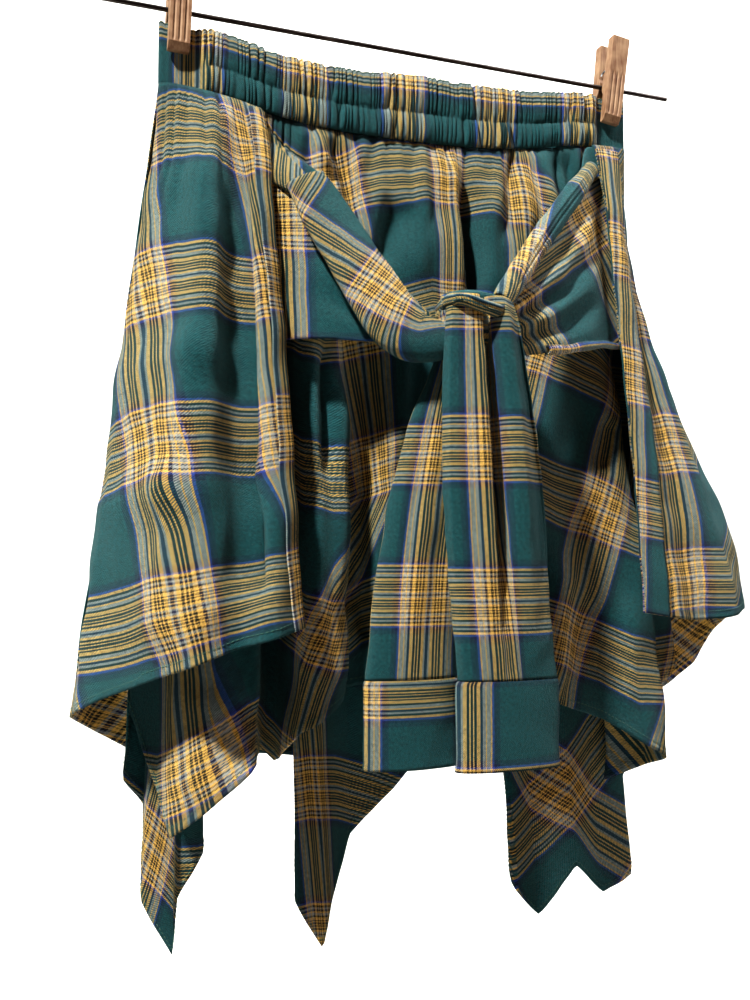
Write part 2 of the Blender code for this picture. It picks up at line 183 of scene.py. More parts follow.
class Finish:
    """A new material, with short calls for the nodes that the finishes are made of."""

    def __init__(self, name: str) -> None:
        """Makes the material, named for what it really is."""
        self.made = bpy.data.materials.new(name)
        self.made.use_nodes = True
        self.tree = self.made.node_tree

    def node(self, kind: str, inputs: dict, **settings: Any) -> Sequence[Socket]:
        """Adds a shader node and gives its outputs."""
        return add_node(self.tree, "ShaderNode" + kind, inputs, **settings).outputs

    def math(self, operation: str, *values: Socket | float) -> Socket:
        """Reckons with one to three values."""
        return self.node("Math", dict(enumerate(values)), operation=operation)[0]

    def vector(self, operation: str, one: Any, two: Any) -> Socket:
        """Reckons with two vectors."""
        return self.node("VectorMath", {0: one, 1: two}, operation=operation)[0]

    def scaled(self, vector: Any, by: Socket | float) -> Socket:
        """Multiplies a vector or colour by a number."""
        return self.node("VectorMath", {0: vector, "Scale": by}, operation="SCALE")[0]

    def mix(self, share: Socket, one: Any, two: Any) -> Socket:
        """Blends two colours."""
        return self.node("Mix", {0: share, 6: one, 7: two}, data_type="RGBA")[2]

    def remap(self, value: Socket, to: Pair, of: Pair = (0.0, 1.0)) -> Socket:
        """Turns one range of values into another."""
        return self.node("MapRange", {"Value": value, 1: of[0], 2: of[1], 3: to[0], 4: to[1]})[0]

    def noise(self, place: Socket, scale: float, detail: float, **more: float) -> Socket:
        """Adds noise in three dimensions and gives its height."""
        return self.node("TexNoise", {"Vector": place, "Scale": scale, "Detail": detail, **more})[0]

    def flat_noise(self, place: Socket, scale: float, detail: float, **more: float) -> Sequence[Socket]:
        """Adds noise on the flat cloth and gives its height and its colour."""
        inputs = {"Vector": place, "Scale": scale, "Detail": detail, **more}
        return self.node("TexNoise", inputs, noise_dimensions="2D")

    def place(self) -> Socket:
        """Reads the place in the object, in metres."""
        return self.node("TexCoord", {})["Object"]

    def stretched(self, scale: Point) -> Socket:
        """Reads the place in the object, drawn out along its axes."""
        return self.node("Mapping", {"Vector": self.place(), "Scale": scale})[0]

    def ramp(self, value: Socket, stops: Sequence[tuple[float, str]], blend: str = "LINEAR") -> Socket:
        """Colours a value.

        Args:
            value: The value, from 0 to 1.
            stops: Rising places and their sRGB colours.
            blend: How one stop goes over into the next.

        Returns:
            The colour.
        """
        made = add_node(self.tree, "ShaderNodeValToRGB", {"Fac": value})
        made.color_ramp.interpolation = blend
        points = made.color_ramp.elements
        points.remove(points[-1])
        for number, (place, colour) in enumerate(stops):
            point = points.new(place) if number else points[0]
            point.position = place
            point.color = linear(colour)
        return made.outputs[0]

    def surface(self, bump: tuple[float, float, Socket] | None, inputs: dict) -> Material:
        """Fills the surface shader.

        Args:
            bump: The relief's strength, its height in metres and its pattern.
            inputs: The shader's other inputs.

        Returns:
            The finished material.
        """
        shader = fill(self.tree.nodes["Principled BSDF"], inputs)
        if bump:
            relief = self.node("Bump", dict(zip(("Strength", "Distance", "Height"), bump)))
            fill(shader, {"Normal": relief[0]})
        return self.made


@dataclass(frozen=True)
class Flannel:
    """Brushed cotton flannel: a yarn-dyed check in twill with a soft nap.
    """

    rib: float = 1.5
    twill: float = 0.37
    fuzz_scale: float = 190.0
    patch_scale: float = 46.0
    lint_scale: float = 150.0
    fibre_scale: float = 120.0
    fuzz: float = 0.005
    nap: float = 0.22
    mottling: Pair = (0.62, 1.38)
    lint_share: float = 0.5
    lint: str = "#9DB0A6"
    sheen: str = "#CBD8D2"
    relief: float = 0.0012

    def yarns(self, finish: Finish, place: Socket, chart: Chart) -> Socket:
        """Colours one yarn direction by its place in the repeat."""
        half = finish.math("MULTIPLY", finish.math("PINGPONG", place, 0.5), 2.0)
        return finish.ramp(half, [(start * 2 / REPEAT, yarn.value) for start, yarn in chart], "CONSTANT")

    def material(self) -> Material:
        """Builds the flannel.

        Returns:
            The material: crisp stripes softened by nap, a faint twill rib, mottling and pale lint.
        """
        finish = Finish("brushed_cotton_flannel")
        cloth = finish.node("UVMap", {}, uv_map="Cloth")[0]
        # Fuzz: the nap blurs the stripes' edges
        jitter = finish.flat_noise(cloth, self.fuzz_scale, 2.0)[1]
        shift = finish.vector("SUBTRACT", jitter, (0.5, 0.5, 0.5))
        soft = finish.vector("ADD", cloth, finish.scaled(shift, self.fuzz))
        across, along, _ = finish.node("SeparateXYZ", {0: soft})
        # Twill: warp and weft show by turns along fine diagonal ribs
        turn = finish.math("MULTIPLY", finish.math("ADD", across, along), TAU * REPEAT / self.rib)
        rib = finish.math("SINE", turn)
        share = finish.math("MULTIPLY_ADD", rib, self.twill, 0.5)
        warp = self.yarns(finish, across, WARP_CHART)
        weft = self.yarns(finish, along, WEFT_CHART)
        woven = finish.mix(share, warp, weft)
        # Mottling: the brushed nap catches the light in uneven patches
        patches = finish.flat_noise(cloth, self.patch_scale, 6.0, Roughness=0.78)[0]
        tone = finish.scaled(woven, finish.remap(patches, self.mottling, (0.3, 0.7)))
        # Lint: tiny pale specks of loose fibre
        specks = finish.flat_noise(cloth, self.lint_scale, 1.0)[0]
        specks = finish.remap(specks, (0.0, self.lint_share), (0.77, 0.84))
        fibres = finish.flat_noise(cloth, self.fibre_scale, 4.0, Roughness=0.75)[0]
        height = finish.math("MULTIPLY_ADD", rib, 0.22, finish.math("MULTIPLY_ADD", patches, 1.4, fibres))
        return finish.surface((0.9, self.relief, height), {
            "Base Color": finish.mix(specks, tone, linear(self.lint)),
            "Roughness": finish.remap(fibres, (0.86, 1.0)),
            "Specular IOR Level": 0.15,
            "Sheen Weight": self.nap,
            "Sheen Roughness": 0.55,
            "Sheen Tint": linear(self.sheen),
        })


@dataclass(frozen=True)
class Wood:
    """Plain sanded beech with long grain, its colour streaked between pale and brown."""

    pale: str = "#957B61"
    brown: str = "#6A4A33"
    grain: Point = (900.0, 900.0, 45.0)

    def material(self) -> Material:
        """Builds the wood.

        Returns:
            The material: fine streaks along the peg's length and small dark pores.
        """
        finish = Finish("sanded_peg_wood")
        streaks = finish.noise(finish.stretched(self.grain), 1.0, 4.0, Distortion=0.6)
        clouds = finish.noise(finish.place(), 90.0, 2.0)
        blend = finish.math("MULTIPLY", finish.math("ADD", streaks, clouds), 0.5)
        return finish.surface((0.35, 0.0003, streaks), {
            "Base Color": finish.ramp(blend, ((0.36, self.brown), (0.60, self.pale))),
            "Roughness": finish.remap(streaks, (0.5, 0.75)),
        })


@dataclass(frozen=True)
class Steel:
    """Drawn steel wire, dull from handling, with faint marks along its length."""

    name: str
    colour: str
    worn: str
    grain: Point = (60.0, 900.0, 900.0)

    def material(self) -> Material:
        """Builds the steel.

        Returns:
            The material: streaked metal, rougher where it is worn.
        """
        finish = Finish(self.name)
        marks = finish.noise(finish.stretched(self.grain), 1.0, 5.0)
        return finish.surface((0.2, 0.0002, marks), {
            "Base Color": finish.ramp(marks, ((0.42, self.colour), (0.66, self.worn))),
            "Roughness": finish.remap(marks, (0.30, 0.55)),
            "Metallic": 1.0,
        })


@dataclass(frozen=True)
class Thread:
    """Cotton sewing thread, twisted and a little shiny."""

    name: str
    colour: str

    def material(self) -> Material:
        """Builds the thread.

        Returns:
            The material: one dyed colour with painted shade and highlight in diagonal bands along the
                plies, which also give its relief.
        """
        finish = Finish(self.name)
        wave = {"Vector": finish.place(), "Scale": 900.0, "Distortion": 2.0}
        ply_relief_and_shade = finish.node("TexWave", wave, bands_direction="DIAGONAL")["Fac"]
        return finish.surface((0.4, 0.0001, ply_relief_and_shade), {
            # Painted shade and highlight: the colour darkens and lightens in diagonal bands along the
            # plies
            "Base Color": finish.scaled(linear(self.colour)[:3], finish.remap(ply_relief_and_shade, (0.75, 1.15))),
            "Roughness": 0.6,
            "Sheen Weight": 0.2,
        })


@dataclass(frozen=True)
class Paper:
    """Matt pale paint on the floor and the wall behind, even but not flat."""

    colour: str = "#BDBDBB"

    def material(self) -> Material:
        """Builds the paint.

        Returns:
            The material: a very faint grain on a near-white ground.
        """
        finish = Finish("pale_studio_paint")
        grain = finish.remap(finish.noise(finish.place(), 4.0, 3.0), (0.97, 1.03))
        return finish.surface(None, {
            "Base Color": finish.scaled(linear(self.colour)[:3], grain),
            "Roughness": 0.9,
        })


def read_rows(rows: Rows, at: Array) -> Array:
    """Reads a table between its rows, on smooth curves that never overshoot them.

    Args:
        rows: The table, one row of numbers for each station.
        at: Places counted in rows.

    Returns:
        One read row for each place.
    """
    table = np.array(rows, float)
    steps = np.diff(table, axis=0)
    before, after = steps[:-1], steps[1:]
    total = np.where(before * after > 0, before + after, 1.0)
    inner = np.where(before * after > 0, 2 * before * after / total, 0.0)
    slopes = np.vstack([steps[:1], inner, steps[-1:]])
    row = np.clip(at.astype(int), 0, len(table) - 2)
    t = (at - row)[:, None]
    square, cube = t * t, t * t * t
    return (
        table[row]
        + steps[row] * (3 * square - 2 * cube)
        + slopes[row] * (cube - 2 * square + t)
        + slopes[row + 1] * (cube - square)
    )


def read_by(rows: Rows, key: Array) -> Array:
    """Reads a table whose first column is a rising key, straight between its rows.

    Args:
        rows: The table.
        key: The places to read.

    Returns:
        The other columns at each place.
    """
    table = np.array(rows, float)
    return np.stack([np.interp(key, table[:, 0], table[:, k]) for k in range(1, table.shape[1])], axis=-1)


def wander(seed: int, at: Array, length: float) -> Array:
    """Draws a smooth uneven wave, about one unit high.

    Args:
        seed: Picks the wave.
        at: Places along it.
        length: Its mean wavelength.

    Returns:
        The wave's height at each place.
    """
    dice = np.random.default_rng(seed)
    total = np.zeros_like(at, float)
    for octave in (0.61, 1.0, 1.73):
        total += np.sin(TAU * at / (length * octave) + dice.uniform(0, TAU))
    return total / 2.2


def rumple(points: Array, seed: int, length: float) -> Array:
    """Draws soft dents in cloth that follow no line.

    Args:
        points: Places in space.
        seed: Picks the pattern.
        length: The mean size of a dent.

    Returns:
        A height of about one unit at each place.
    """
    dice = np.random.default_rng(seed)
    total = np.zeros(points.shape[:-1])
    for _ in range(7):
        way = dice.normal(size=3)
        way /= np.linalg.norm(way)
        total += np.sin(points @ way * (TAU / (length * dice.uniform(0.7, 1.6))) + dice.uniform(0, 6.3))
    return total / 3.2


def lengths(points: Array, axis: int) -> Array:
    """Measures the steps between neighbouring points down the rows (0) or along them (1)."""
    return np.linalg.norm(np.diff(points, axis=axis), axis=-1)


def walked(steps: Array) -> Array:
    """Adds steps up from nought."""
    return np.r_[0, steps.cumsum()]


@dataclass(frozen=True)
class Crease:
    """A soft trough or ridge in a panel, drawn as a line across its front view.

    Its height fades towards both ends, and its two flanks have their own widths.
    """

    start_x: float
    start_z: float
    end_x: float
    end_z: float
    height: float
    left: float
    right: float

    def lift(self, points: Array) -> Array:
        """Tells how far the crease moves each point outwards.

        Args:
            points: Places in space.

        Returns:
            The outward move at each place.
        """
        start = np.array((self.start_x, self.start_z))
        line = np.array((self.end_x, self.end_z)) - start
        length = np.linalg.norm(line)
        way = line / length
        flat = points[..., (0, 2)] - start
        along = flat @ way / length
        off = flat @ np.array((-way[1], way[0]))
        width = np.where(off < 0, self.left, self.right)
        ends = np.clip(np.minimum(along, 1 - along) / 0.3 + 0.35, 0.0, 1.0)
        return self.height * ends * ends * (3 - 2 * ends) * np.exp(-np.abs(off / width) ** 1.6)


@dataclass
class Cloth:
    """A sheet of cloth as a grid of points and the place of each on the flat check.

    Attributes:
        points: Rows by columns by three.
        chart: Rows by columns by two, in millimetres of flat cloth.
        wraps: Whether the last column meets the first.
    """

    points: Array
    chart: Array
    wraps: bool = False

    def flipped(self) -> "Cloth":
        """Gives the same sheet with its outer face turned in."""
        return Cloth(self.points[:, ::-1], self.chart[:, ::-1], self.wraps)

    def normals(self) -> Array:
        """Gives the outward direction at each point.

        Returns:
            Unit vectors, one for each point.
        """
        down = np.gradient(self.points, axis=0)
        if self.wraps:
            ring = np.concatenate([self.points[:, -2:-1], self.points, self.points[:, 1:2]], axis=1)
            across = (ring[:, 2:] - ring[:, :-2]) / 2
        else:
            across = np.gradient(self.points, axis=1)
        found = np.cross(down, across)
        return found / np.maximum(np.linalg.norm(found, axis=-1, keepdims=True), 1e-9)

    def push(self, height: Array) -> None:
        """Moves each point outwards by its own height."""
        self.points = self.points + self.normals() * height[..., None]

    def below(self) -> Array:
        """Measures the cloth between each point and the last row."""
        run = lengths(self.points, 0)
        return np.vstack([run[::-1].cumsum(axis=0)[::-1], np.zeros((1, run.shape[1]))])

    def size(self) -> tuple[float, float, float]:
        """Measures the sheet.

        Returns:
            Its longest width and length in metres, and its area in square metres.
        """
        down, across = np.diff(self.points, axis=0)[:, :-1], np.diff(self.points, axis=1)[:-1]
        area = float(np.linalg.norm(np.cross(down, across), axis=-1).sum()) * 1e-6
        wide, long = lengths(self.points, 1).sum(axis=1).max(), lengths(self.points, 0).sum(axis=0).max()
        return float(wide) * MM, float(long) * MM, area

    def build(self, name: str, wall: float, finish: Material, hem: float = 0.0) -> Object:
        """Makes the sheet a closed shell.

        Args:
            name: The piece's name.
            wall: The cloth's thickness.
            finish: Its material.
            hem: The height of a doubled hem along the last row.

        Returns:
            The new object, with a live Solidify.
        """
        rows, columns = self.points.shape[:2]
        used = columns - 1 if self.wraps else columns
        index = np.arange(rows * used).reshape(rows, used)
        nexts = np.roll(index, -1, axis=1) if self.wraps else index[:, 1:]
        firsts = index if self.wraps else index[:, :-1]
        faces = np.stack([firsts[:-1], firsts[1:], nexts[1:], nexts[:-1]], axis=-1).reshape(-1, 4)
        mesh = bpy.data.meshes.new(name)
        mesh.from_pydata((self.points[:, :used].reshape(-1, 3) * MM).tolist(), [], faces.tolist())
        place = self.chart / REPEAT
        corners = np.stack([place[:-1, :-1], place[1:, :-1], place[1:, 1:], place[:-1, 1:]], axis=2)
        mesh.uv_layers.new(name="Cloth").data.foreach_set("uv", corners.reshape(-1).astype(np.float32))
        smooth(mesh)
        mesh.materials.append(finish)
        made = link_object(name, mesh)
        shell = made.modifiers.new("wall", "SOLIDIFY")
        shell.thickness = wall * MM
        shell.offset = 0.0
        if hem > 0:
            below = self.below()[:, :used]
            group = made.vertex_groups.new(name="hem")
            group.add(index[below > hem].ravel().tolist(), 0.62, "REPLACE")
            group.add(index[below <= hem].ravel().tolist(), 1.0, "REPLACE")
            shell.vertex_group = "hem"
        return made


def register(made: Object, slot: str, *nodes: str) -> Object:
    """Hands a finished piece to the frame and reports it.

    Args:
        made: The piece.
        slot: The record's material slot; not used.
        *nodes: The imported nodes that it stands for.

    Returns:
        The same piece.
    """
    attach(made, "root")
    if nodes:
        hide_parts(*nodes)
    LOG.info("%s: %d faces", made.name, len(made.data.polygons))
    return made


@dataclass
class Sewn:
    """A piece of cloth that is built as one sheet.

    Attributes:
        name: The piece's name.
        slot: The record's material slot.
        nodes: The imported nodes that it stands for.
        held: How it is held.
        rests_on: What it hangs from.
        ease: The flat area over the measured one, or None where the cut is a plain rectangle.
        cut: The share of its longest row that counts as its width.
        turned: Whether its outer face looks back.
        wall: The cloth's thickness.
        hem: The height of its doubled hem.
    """

    name: str
    slot: str
    nodes: Sequence[str]
    held: ClassVar[Held] = Held.FOLDED
    rests_on: ClassVar[Sequence[str]] = ("knot",)
    ease: ClassVar[float | None] = 1.0
    cut: ClassVar[float] = 1.0
    turned: ClassVar[bool] = False
    wall = 1.3
    hem = 0.0

    def sew(self, cloth: Cloth, finish: Material) -> Cloth:
        """Builds the piece and measures its flat size.

        Args:
            cloth: The piece's cloth.
            finish: The flannel.

        Returns:
            The same cloth.
        """
        shown = cloth.flipped() if self.turned else cloth
        made = register(shown.build(self.name, self.wall, finish, self.hem), self.slot, *self.nodes)
        width, length, area = cloth.size()
        area = None if self.ease is None else min(area * self.ease, width * length)
        return cloth

    def cloth(self) -> Cloth:
        """Shapes the cloth, each kind of piece in its own way."""
        raise NotImplementedError

    def make(self, finish: Material) -> Cloth:
        """Shapes the cloth and sews it."""
        return self.sew(self.cloth(), finish)


def dress_node(node: str, finish: Material) -> None:
    """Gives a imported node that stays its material.

    Args:
        node: The node's name.
        finish: The material.
    """
    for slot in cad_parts[node].material_slots:
        slot.material = finish
    LOG.info("%s: kept, dressed in %s", node, finish.name)


@dataclass(frozen=True)
class Seam:
    """A line of machine stitches, made by Geometry Nodes along a path."""

    spacing: float = 3.1
    length: float = 2.3
    width: float = 0.55

    def tree(self, finish: Material) -> bpy.types.NodeTree:
        """Builds the tree that lays stitches along a curve.

        Args:
            finish: The thread.

        Returns:
            The tree, with named inputs for its sizes.
        """
        tree = bpy.data.node_groups.new("stitches", "GeometryNodeTree")
        tree.interface.new_socket("Path", in_out="INPUT", socket_type="NodeSocketGeometry")
        for name in ("Spacing", "Length", "Width"):
            tree.interface.new_socket(name, in_out="INPUT", socket_type="NodeSocketFloat")
        tree.interface.new_socket("Stitches", in_out="OUTPUT", socket_type="NodeSocketGeometry")

        def add(kind: str, inputs: dict, **settings: Any) -> Sequence[Socket]:
            """Adds a node to the tree and gives its outputs."""
            return add_node(tree, kind, inputs, **settings).outputs

        given = tree.nodes.new("NodeGroupInput").outputs
        run = {"Curve": given["Path"], "Length": given["Spacing"]}
        points = add("GeometryNodeCurveToPoints", run, mode="LENGTH")
        ball = add("GeometryNodeMeshUVSphere", {"Segments": 6, "Rings": 4, "Radius": 0.5})
        turn = add("FunctionNodeAlignRotationToVector", {"Vector": points["Tangent"]}, axis="Z")
        spread = {"Min": (-0.12, -0.12, 0.0), "Max": (0.12, 0.12, 0.0), "Seed": 5}
        tilt = add("FunctionNodeRandomValue", spread, data_type="FLOAT_VECTOR")
        both = {"Rotation": turn[0], "Rotate By": tilt[0]}
        size = {0: given["Width"], 1: given["Width"], 2: given["Length"]}
        placed = add("GeometryNodeInstanceOnPoints", {
            "Points": points["Points"],
            "Instance": ball["Mesh"],
            "Rotation": add("FunctionNodeRotateRotation", both, rotation_space="LOCAL")[0],
            "Scale": add("ShaderNodeCombineXYZ", size)[0],
        })
        real = add("GeometryNodeRealizeInstances", {0: placed[0]})
        dressed = add("GeometryNodeSetMaterial", {"Geometry": real[0], "Material": finish})
        add("NodeGroupOutput", {"Stitches": dressed[0]})
        return tree

    def sew(self, name: str, paths: Sequence[Array], finish: Material, slot: str) -> None:
        """Sews along the paths, as one plain mesh.

        Args:
            name: The piece's name.
            paths: Lines of points just off the cloth.
            finish: The thread.
            slot: The record's material slot.
        """
        curve = bpy.data.curves.new(name + "_path", "CURVE")
        curve.dimensions = "3D"
        for path in paths:
            line = curve.splines.new("POLY")
            line.points.add(len(path) - 1)
            line.points.foreach_set("co", np.c_[path * MM, np.ones(len(path))].ravel())
        guide = link_object(name + "_path", curve)
        sewn = guide.modifiers.new("stitches", "NODES")
        sewn.node_group = self.tree(finish)
        sizes = {"Spacing": self.spacing, "Length": self.length, "Width": self.width}
        for item in sewn.node_group.interface.items_tree:
            if item.name in sizes:
                sewn[item.identifier] = sizes[item.name] * MM
        bpy.context.view_layer.update()
        depsgraph = bpy.context.evaluated_depsgraph_get()
        mesh = bpy.data.meshes.new_from_object(guide.evaluated_get(depsgraph))
        bpy.data.objects.remove(guide)
        mesh.name = name
        smooth(mesh)
        register(link_object(name, mesh), slot)


# The heights of the band's top edge and of the waist seam, at even places along the band
BAND_SAG: Rows = (
    (-9, -50), (-14.5, -56), (-23, -64.5), (-24, -67), (-20.5, -66.5), (-20, -64.5), (-18, -59.5),
    (-12, -51), (-8.5, -46.5),
)


def sag_at(x: Array) -> Array:
    """Reads the band's top and seam heights at places along the band."""
    return read_rows(BAND_SAG, (x / BAND_HALF_WIDTH + 1) / 2 * (len(BAND_SAG) - 1))


@dataclass
class Waistband(Sewn):
    """The elastic loop in its gathered casing, stitched into two puffed channels."""

    held = Held.GATHERED
    rests_on = ("peg_left_front", "peg_right_front")
    ease = None
    cut = 0.75
    wall = 1.5
    half_depth: float = 8.0
    pinch_depth: float = 2.2
    pinch_reach: float = 16.0
    peg_x: float = 163.0
    wave: float = 4.4
    ripple: float = 2.2
    puff: float = 1.5
    fullness: float = 1.48
    stitch_share: float = 0.56
    rows: int = 26
    step: float = 0.55
    chart_start: Pair = (66.4, 12.0)

    def around(self, turn: Array) -> tuple[Array, Array, Array]:
        """Places turns on the loop.

        Args:
            turn: From -1 at the left end over 1 at the right one back to 3.

        Returns:
            The places' X, the side of each, and the share of the loop's full depth there.
        """
        x = BAND_HALF_WIDTH * np.where(turn < 1, turn, 2 - turn)
        end = np.sqrt(np.clip(1 - (np.abs(x) / BAND_HALF_WIDTH) ** 8, 0, 1))
        return x, np.where(turn < 1, -1.0, 1.0), end

    def cloth(self) -> Cloth:
        """Shapes the band with its gathers.

        Returns:
            The band's outer cloth.
        """
        fine = np.linspace(-1, 3, 4001)
        x, side, end = self.around(fine)
        way = walked(np.hypot(np.diff(x), np.diff(side * self.half_depth * end)))
        run = np.linspace(0, way[-1], int(way[-1] / self.step))
        x, side, end = self.around(np.interp(run, way, fine))
        held = np.exp(-(((np.abs(x) - self.peg_x) / self.pinch_reach) ** 6))
        depth = self.half_depth + (self.pinch_depth - self.half_depth) * held
        sag = sag_at(x)
        share = np.linspace(0, 1, self.rows)[:, None]
        stitch = self.stitch_share
        channel = np.where(share < stitch, share / stitch, (share - stitch) / (1 - stitch))
        round_off = np.sin(math.pi * np.clip(channel, 0, 1)) ** 0.6
        edge = np.exp(-((share / 0.10) ** 2))
        swell = self.puff * round_off * (1 - held)
        strength = 0.16 + 0.84 * round_off + 0.55 * edge
        around = TAU * run / run[-1]
        count = round(run[-1] / self.wave)
        waves = []
        for seed in (3, 8):
            place = run * count / run[-1]
            place = place + 0.55 * np.sin(around * 31 + seed) + 0.4 * np.sin(around * 53 + 2 * seed)
            lean = 0.35 * np.sin(around * 17 + seed) * (channel - 0.5)
            waves.append(1.7 * np.abs(np.sin(math.pi * (place + lean))) ** 0.8 - 1.05)
        wave = np.where(share < stitch, *waves)
        size = 1 + 0.45 * np.sin(around * 23 + 1.0)
        ripple = self.ripple * strength * wave * size * (1 - 0.85 * held)
        y = side * (depth + swell + ripple) * end
        z = sag[:, 0] + (sag[:, 1] - sag[:, 0]) * share + 0.7 * edge * wave
        points = np.stack([np.broadcast_to(x, y.shape), y, z], axis=-1)
        points[:, -1] = points[:, 0]
        start_across, start_down = self.chart_start
        across = np.broadcast_to(start_across + run * self.fullness, y.shape)
        chart = np.stack([across, start_down + (sag[:, 0] - sag[:, 1]) * share], axis=-1)
        return Cloth(points, chart, wraps=True)


@dataclass
class Panel(Sewn):
    """A gathered panel that hangs from the waist seam and ends in a hem of its own outline.

    Attributes:
        folds: For each fold its X at the waist, its place at the hem, how late it spreads and how
            fast it deepens on the way.
        gathers: The width and depth of each set of gathers, how far below the seam it is deepest,
            and its seed.
        creases: The sizes of each crease.
    """

    held = Held.GATHERED
    rests_on = ("waistband",)
    ease = 1.02
    hem = 5.5
    side: Side
    half_width: float
    half_depth: float
    folds: Rows
    weave: Rows
    gathers: Rows
    creases: Rows = ()
    calm: float = 0.0
    cell: float = 2.5
    seed: int = 1
    dents: float = 0.8
    dent_size: float = 46.0
    dent_start: float = 60.0
    crease_start: float = 8.0
    edge_height: float = 0.5
    edge_reach: float = 14.0
    edge_wave: float = 23.0
    scale: float = 1.07
    height: float = 420.0

    @property
    def turned(self) -> bool:
        """Whether the panel hangs behind."""
        return self.side is Side.BACK

    def lay(self, at: Array, level: Array) -> Array:
        """Lays the main folds.

        Args:
            at: Places counted in rows of the fold table.
            level: Heights from 0 at the waist to 1 at the hem.

        Returns:
            Levels by places by three.
        """
        read = read_rows(self.folds, at)
        straight = read_by([(number, *row) for number, row in enumerate(self.folds)], at)
        for column in (1, 3):
            read[:, column] += HEM_STRAIGHT * (straight[:, column] - read[:, column])
        x, hem_x, hem_y, hem_z, late, swell = read.T
        share = np.clip(np.abs(x) / self.half_width, 0, 1)
        y = self.side.value * (SEAM_EDGE + (self.half_depth - SEAM_EDGE) * np.sqrt(1 - share**8))
        z = sag_at(x)[:, 1] - SEAM_GAP
        level = level[:, None]
        slow = level**1.4
        spread = level + late * (slow * slow * (3 - 2 * slow) - level)
        x, y, z = x + (hem_x - x) * spread, y + (hem_y - y) * level**swell, z + (hem_z - z) * level
        return np.stack([x, y, z], axis=-1)

    def cloth(self) -> Cloth:
        """Shapes the panel: main folds, gathers, creases and soft dents.

        Returns:
            The panel's cloth.
        """
        fine = np.linspace(0, len(self.folds) - 1, 3000)
        high, low = lengths(self.lay(fine, np.array([0.05, 0.7])), 1)
        way = walked(0.35 * high + 0.65 * low)
        at = np.interp(np.linspace(0, way[-1], int(way[-1] / self.cell) + 1), way, fine)
        level = np.linspace(0, 1, int(self.height / self.cell) + 1)
        points = self.lay(at, level)
        run = np.vstack([np.zeros(len(at)), lengths(points, 0).cumsum(axis=0)])
        across = walked(lengths(points[int(0.6 * len(level))], 0))
        waist_x = read_rows(self.folds, at)[:, 0]
        pull = read_by(self.weave, waist_x)
        thirds = read_by([(place / 3, *np.eye(4)[place]) for place in range(4)], level)
        shifts, drops = thirds @ pull[:, :4].T, thirds @ pull[:, 4:].T
        chart = np.stack([across * self.scale + shifts, run * self.scale + drops], axis=-1)
        cloth = Cloth(points, chart)
        loose = np.clip((np.abs(waist_x - waist_x[0]) - self.calm) / 6.0, 0, 1)
        loose = loose * np.clip(np.abs(waist_x - waist_x[-1]) / 6.0, 0.3, 1)
        lift = np.zeros(run.shape)
        for wide, depth, peak, seed in self.gathers:
            place = across / wide + 0.35 * wander(seed, across, 5.3 * wide)
            place = place + 0.12 * wander(seed + 1, run[:, :1] + 0 * across, 90.0)
            wave = 1.5 * np.abs(np.sin(math.pi * place)) ** 0.9 - 0.95
            size = 1 + 0.5 * wander(seed + 2, across, 3.7 * wide)
            lift += depth * wave * size * (run / peak * np.exp(1 - run / peak)) * loose
        for crease in self.creases:
            lift += Crease(*crease).lift(points) * np.clip(run / self.crease_start, 0, 1)
        soft = np.clip(run / self.dent_start, 0, 1)
        lift += self.dents * rumple(points, self.seed, self.dent_size) * soft
        outward = -float(self.side.value)
        cloth.push(outward * lift)
        edge = np.clip(1 - (run[-1] - run) / self.edge_reach, 0, 1)
        cloth.push(outward * (self.edge_height * edge * wander(self.seed + 9, across, self.edge_wave)))
        return cloth

    def hem_path(self, cloth: Cloth, lift: float) -> Array:
        """Finds the line of the hem's stitches.

        Args:
            cloth: The panel's cloth.
            lift: Its distance off the cloth's middle.

        Returns:
            A line of points.
        """
        outer = cloth.points - float(self.side.value) * cloth.normals() * lift
        row = np.argmin(np.abs(cloth.below() - HEM_STITCH), axis=0)
        return outer[row, np.arange(len(row))]


# Each fold: X at the waist, X, Y and Z at the hem, how late it spreads, how fast it deepens
FRONT_FOLDS: Rows = (
    (-171, -188, 9, -452, 0, 1), (-160, -171, -4, -500, 0, 0.9), (-150, -166, -22, -526, 0, 0.8),
    (-128, -143, -43, -503, 0, 0.8), (-108, -121, -52, -482, 0, 0.8), (-102, -115, -30, -477, 0, 1),
    (-98, -107, -10, -478, 0, 1), (-94, -98, -14, -486, 0, 1), (-88, -91, -44, -464, 0, 0.9),
    (-76, -79, -51, -457, 0, 0.8), (-68, -68, -46, -450, 0, 0.8), (-60, -61, -36, -446, 0, 0.8),
    (-48, -56, -22, -440, 0, 0.9), (-10, -10, -30, -434, 0, 0.8), (35, 45, -36, -440, 0, 0.8),
    (80, 90, -47, -455, 0, 0.7), (105, 125, -42, -467, 0.3, 0.7), (128, 160, -44, -487, 0.6, 0.7),
    (142, 181, -38, -497, 0.8, 0.8), (150, 176, -16, -506, 0.8, 1), (158, 152, 0, -519, 0.8, 1.1),
    (164, 180, 6, -490, 0.8, 1.1), (171, 222, 11, -440, 1, 1),
)
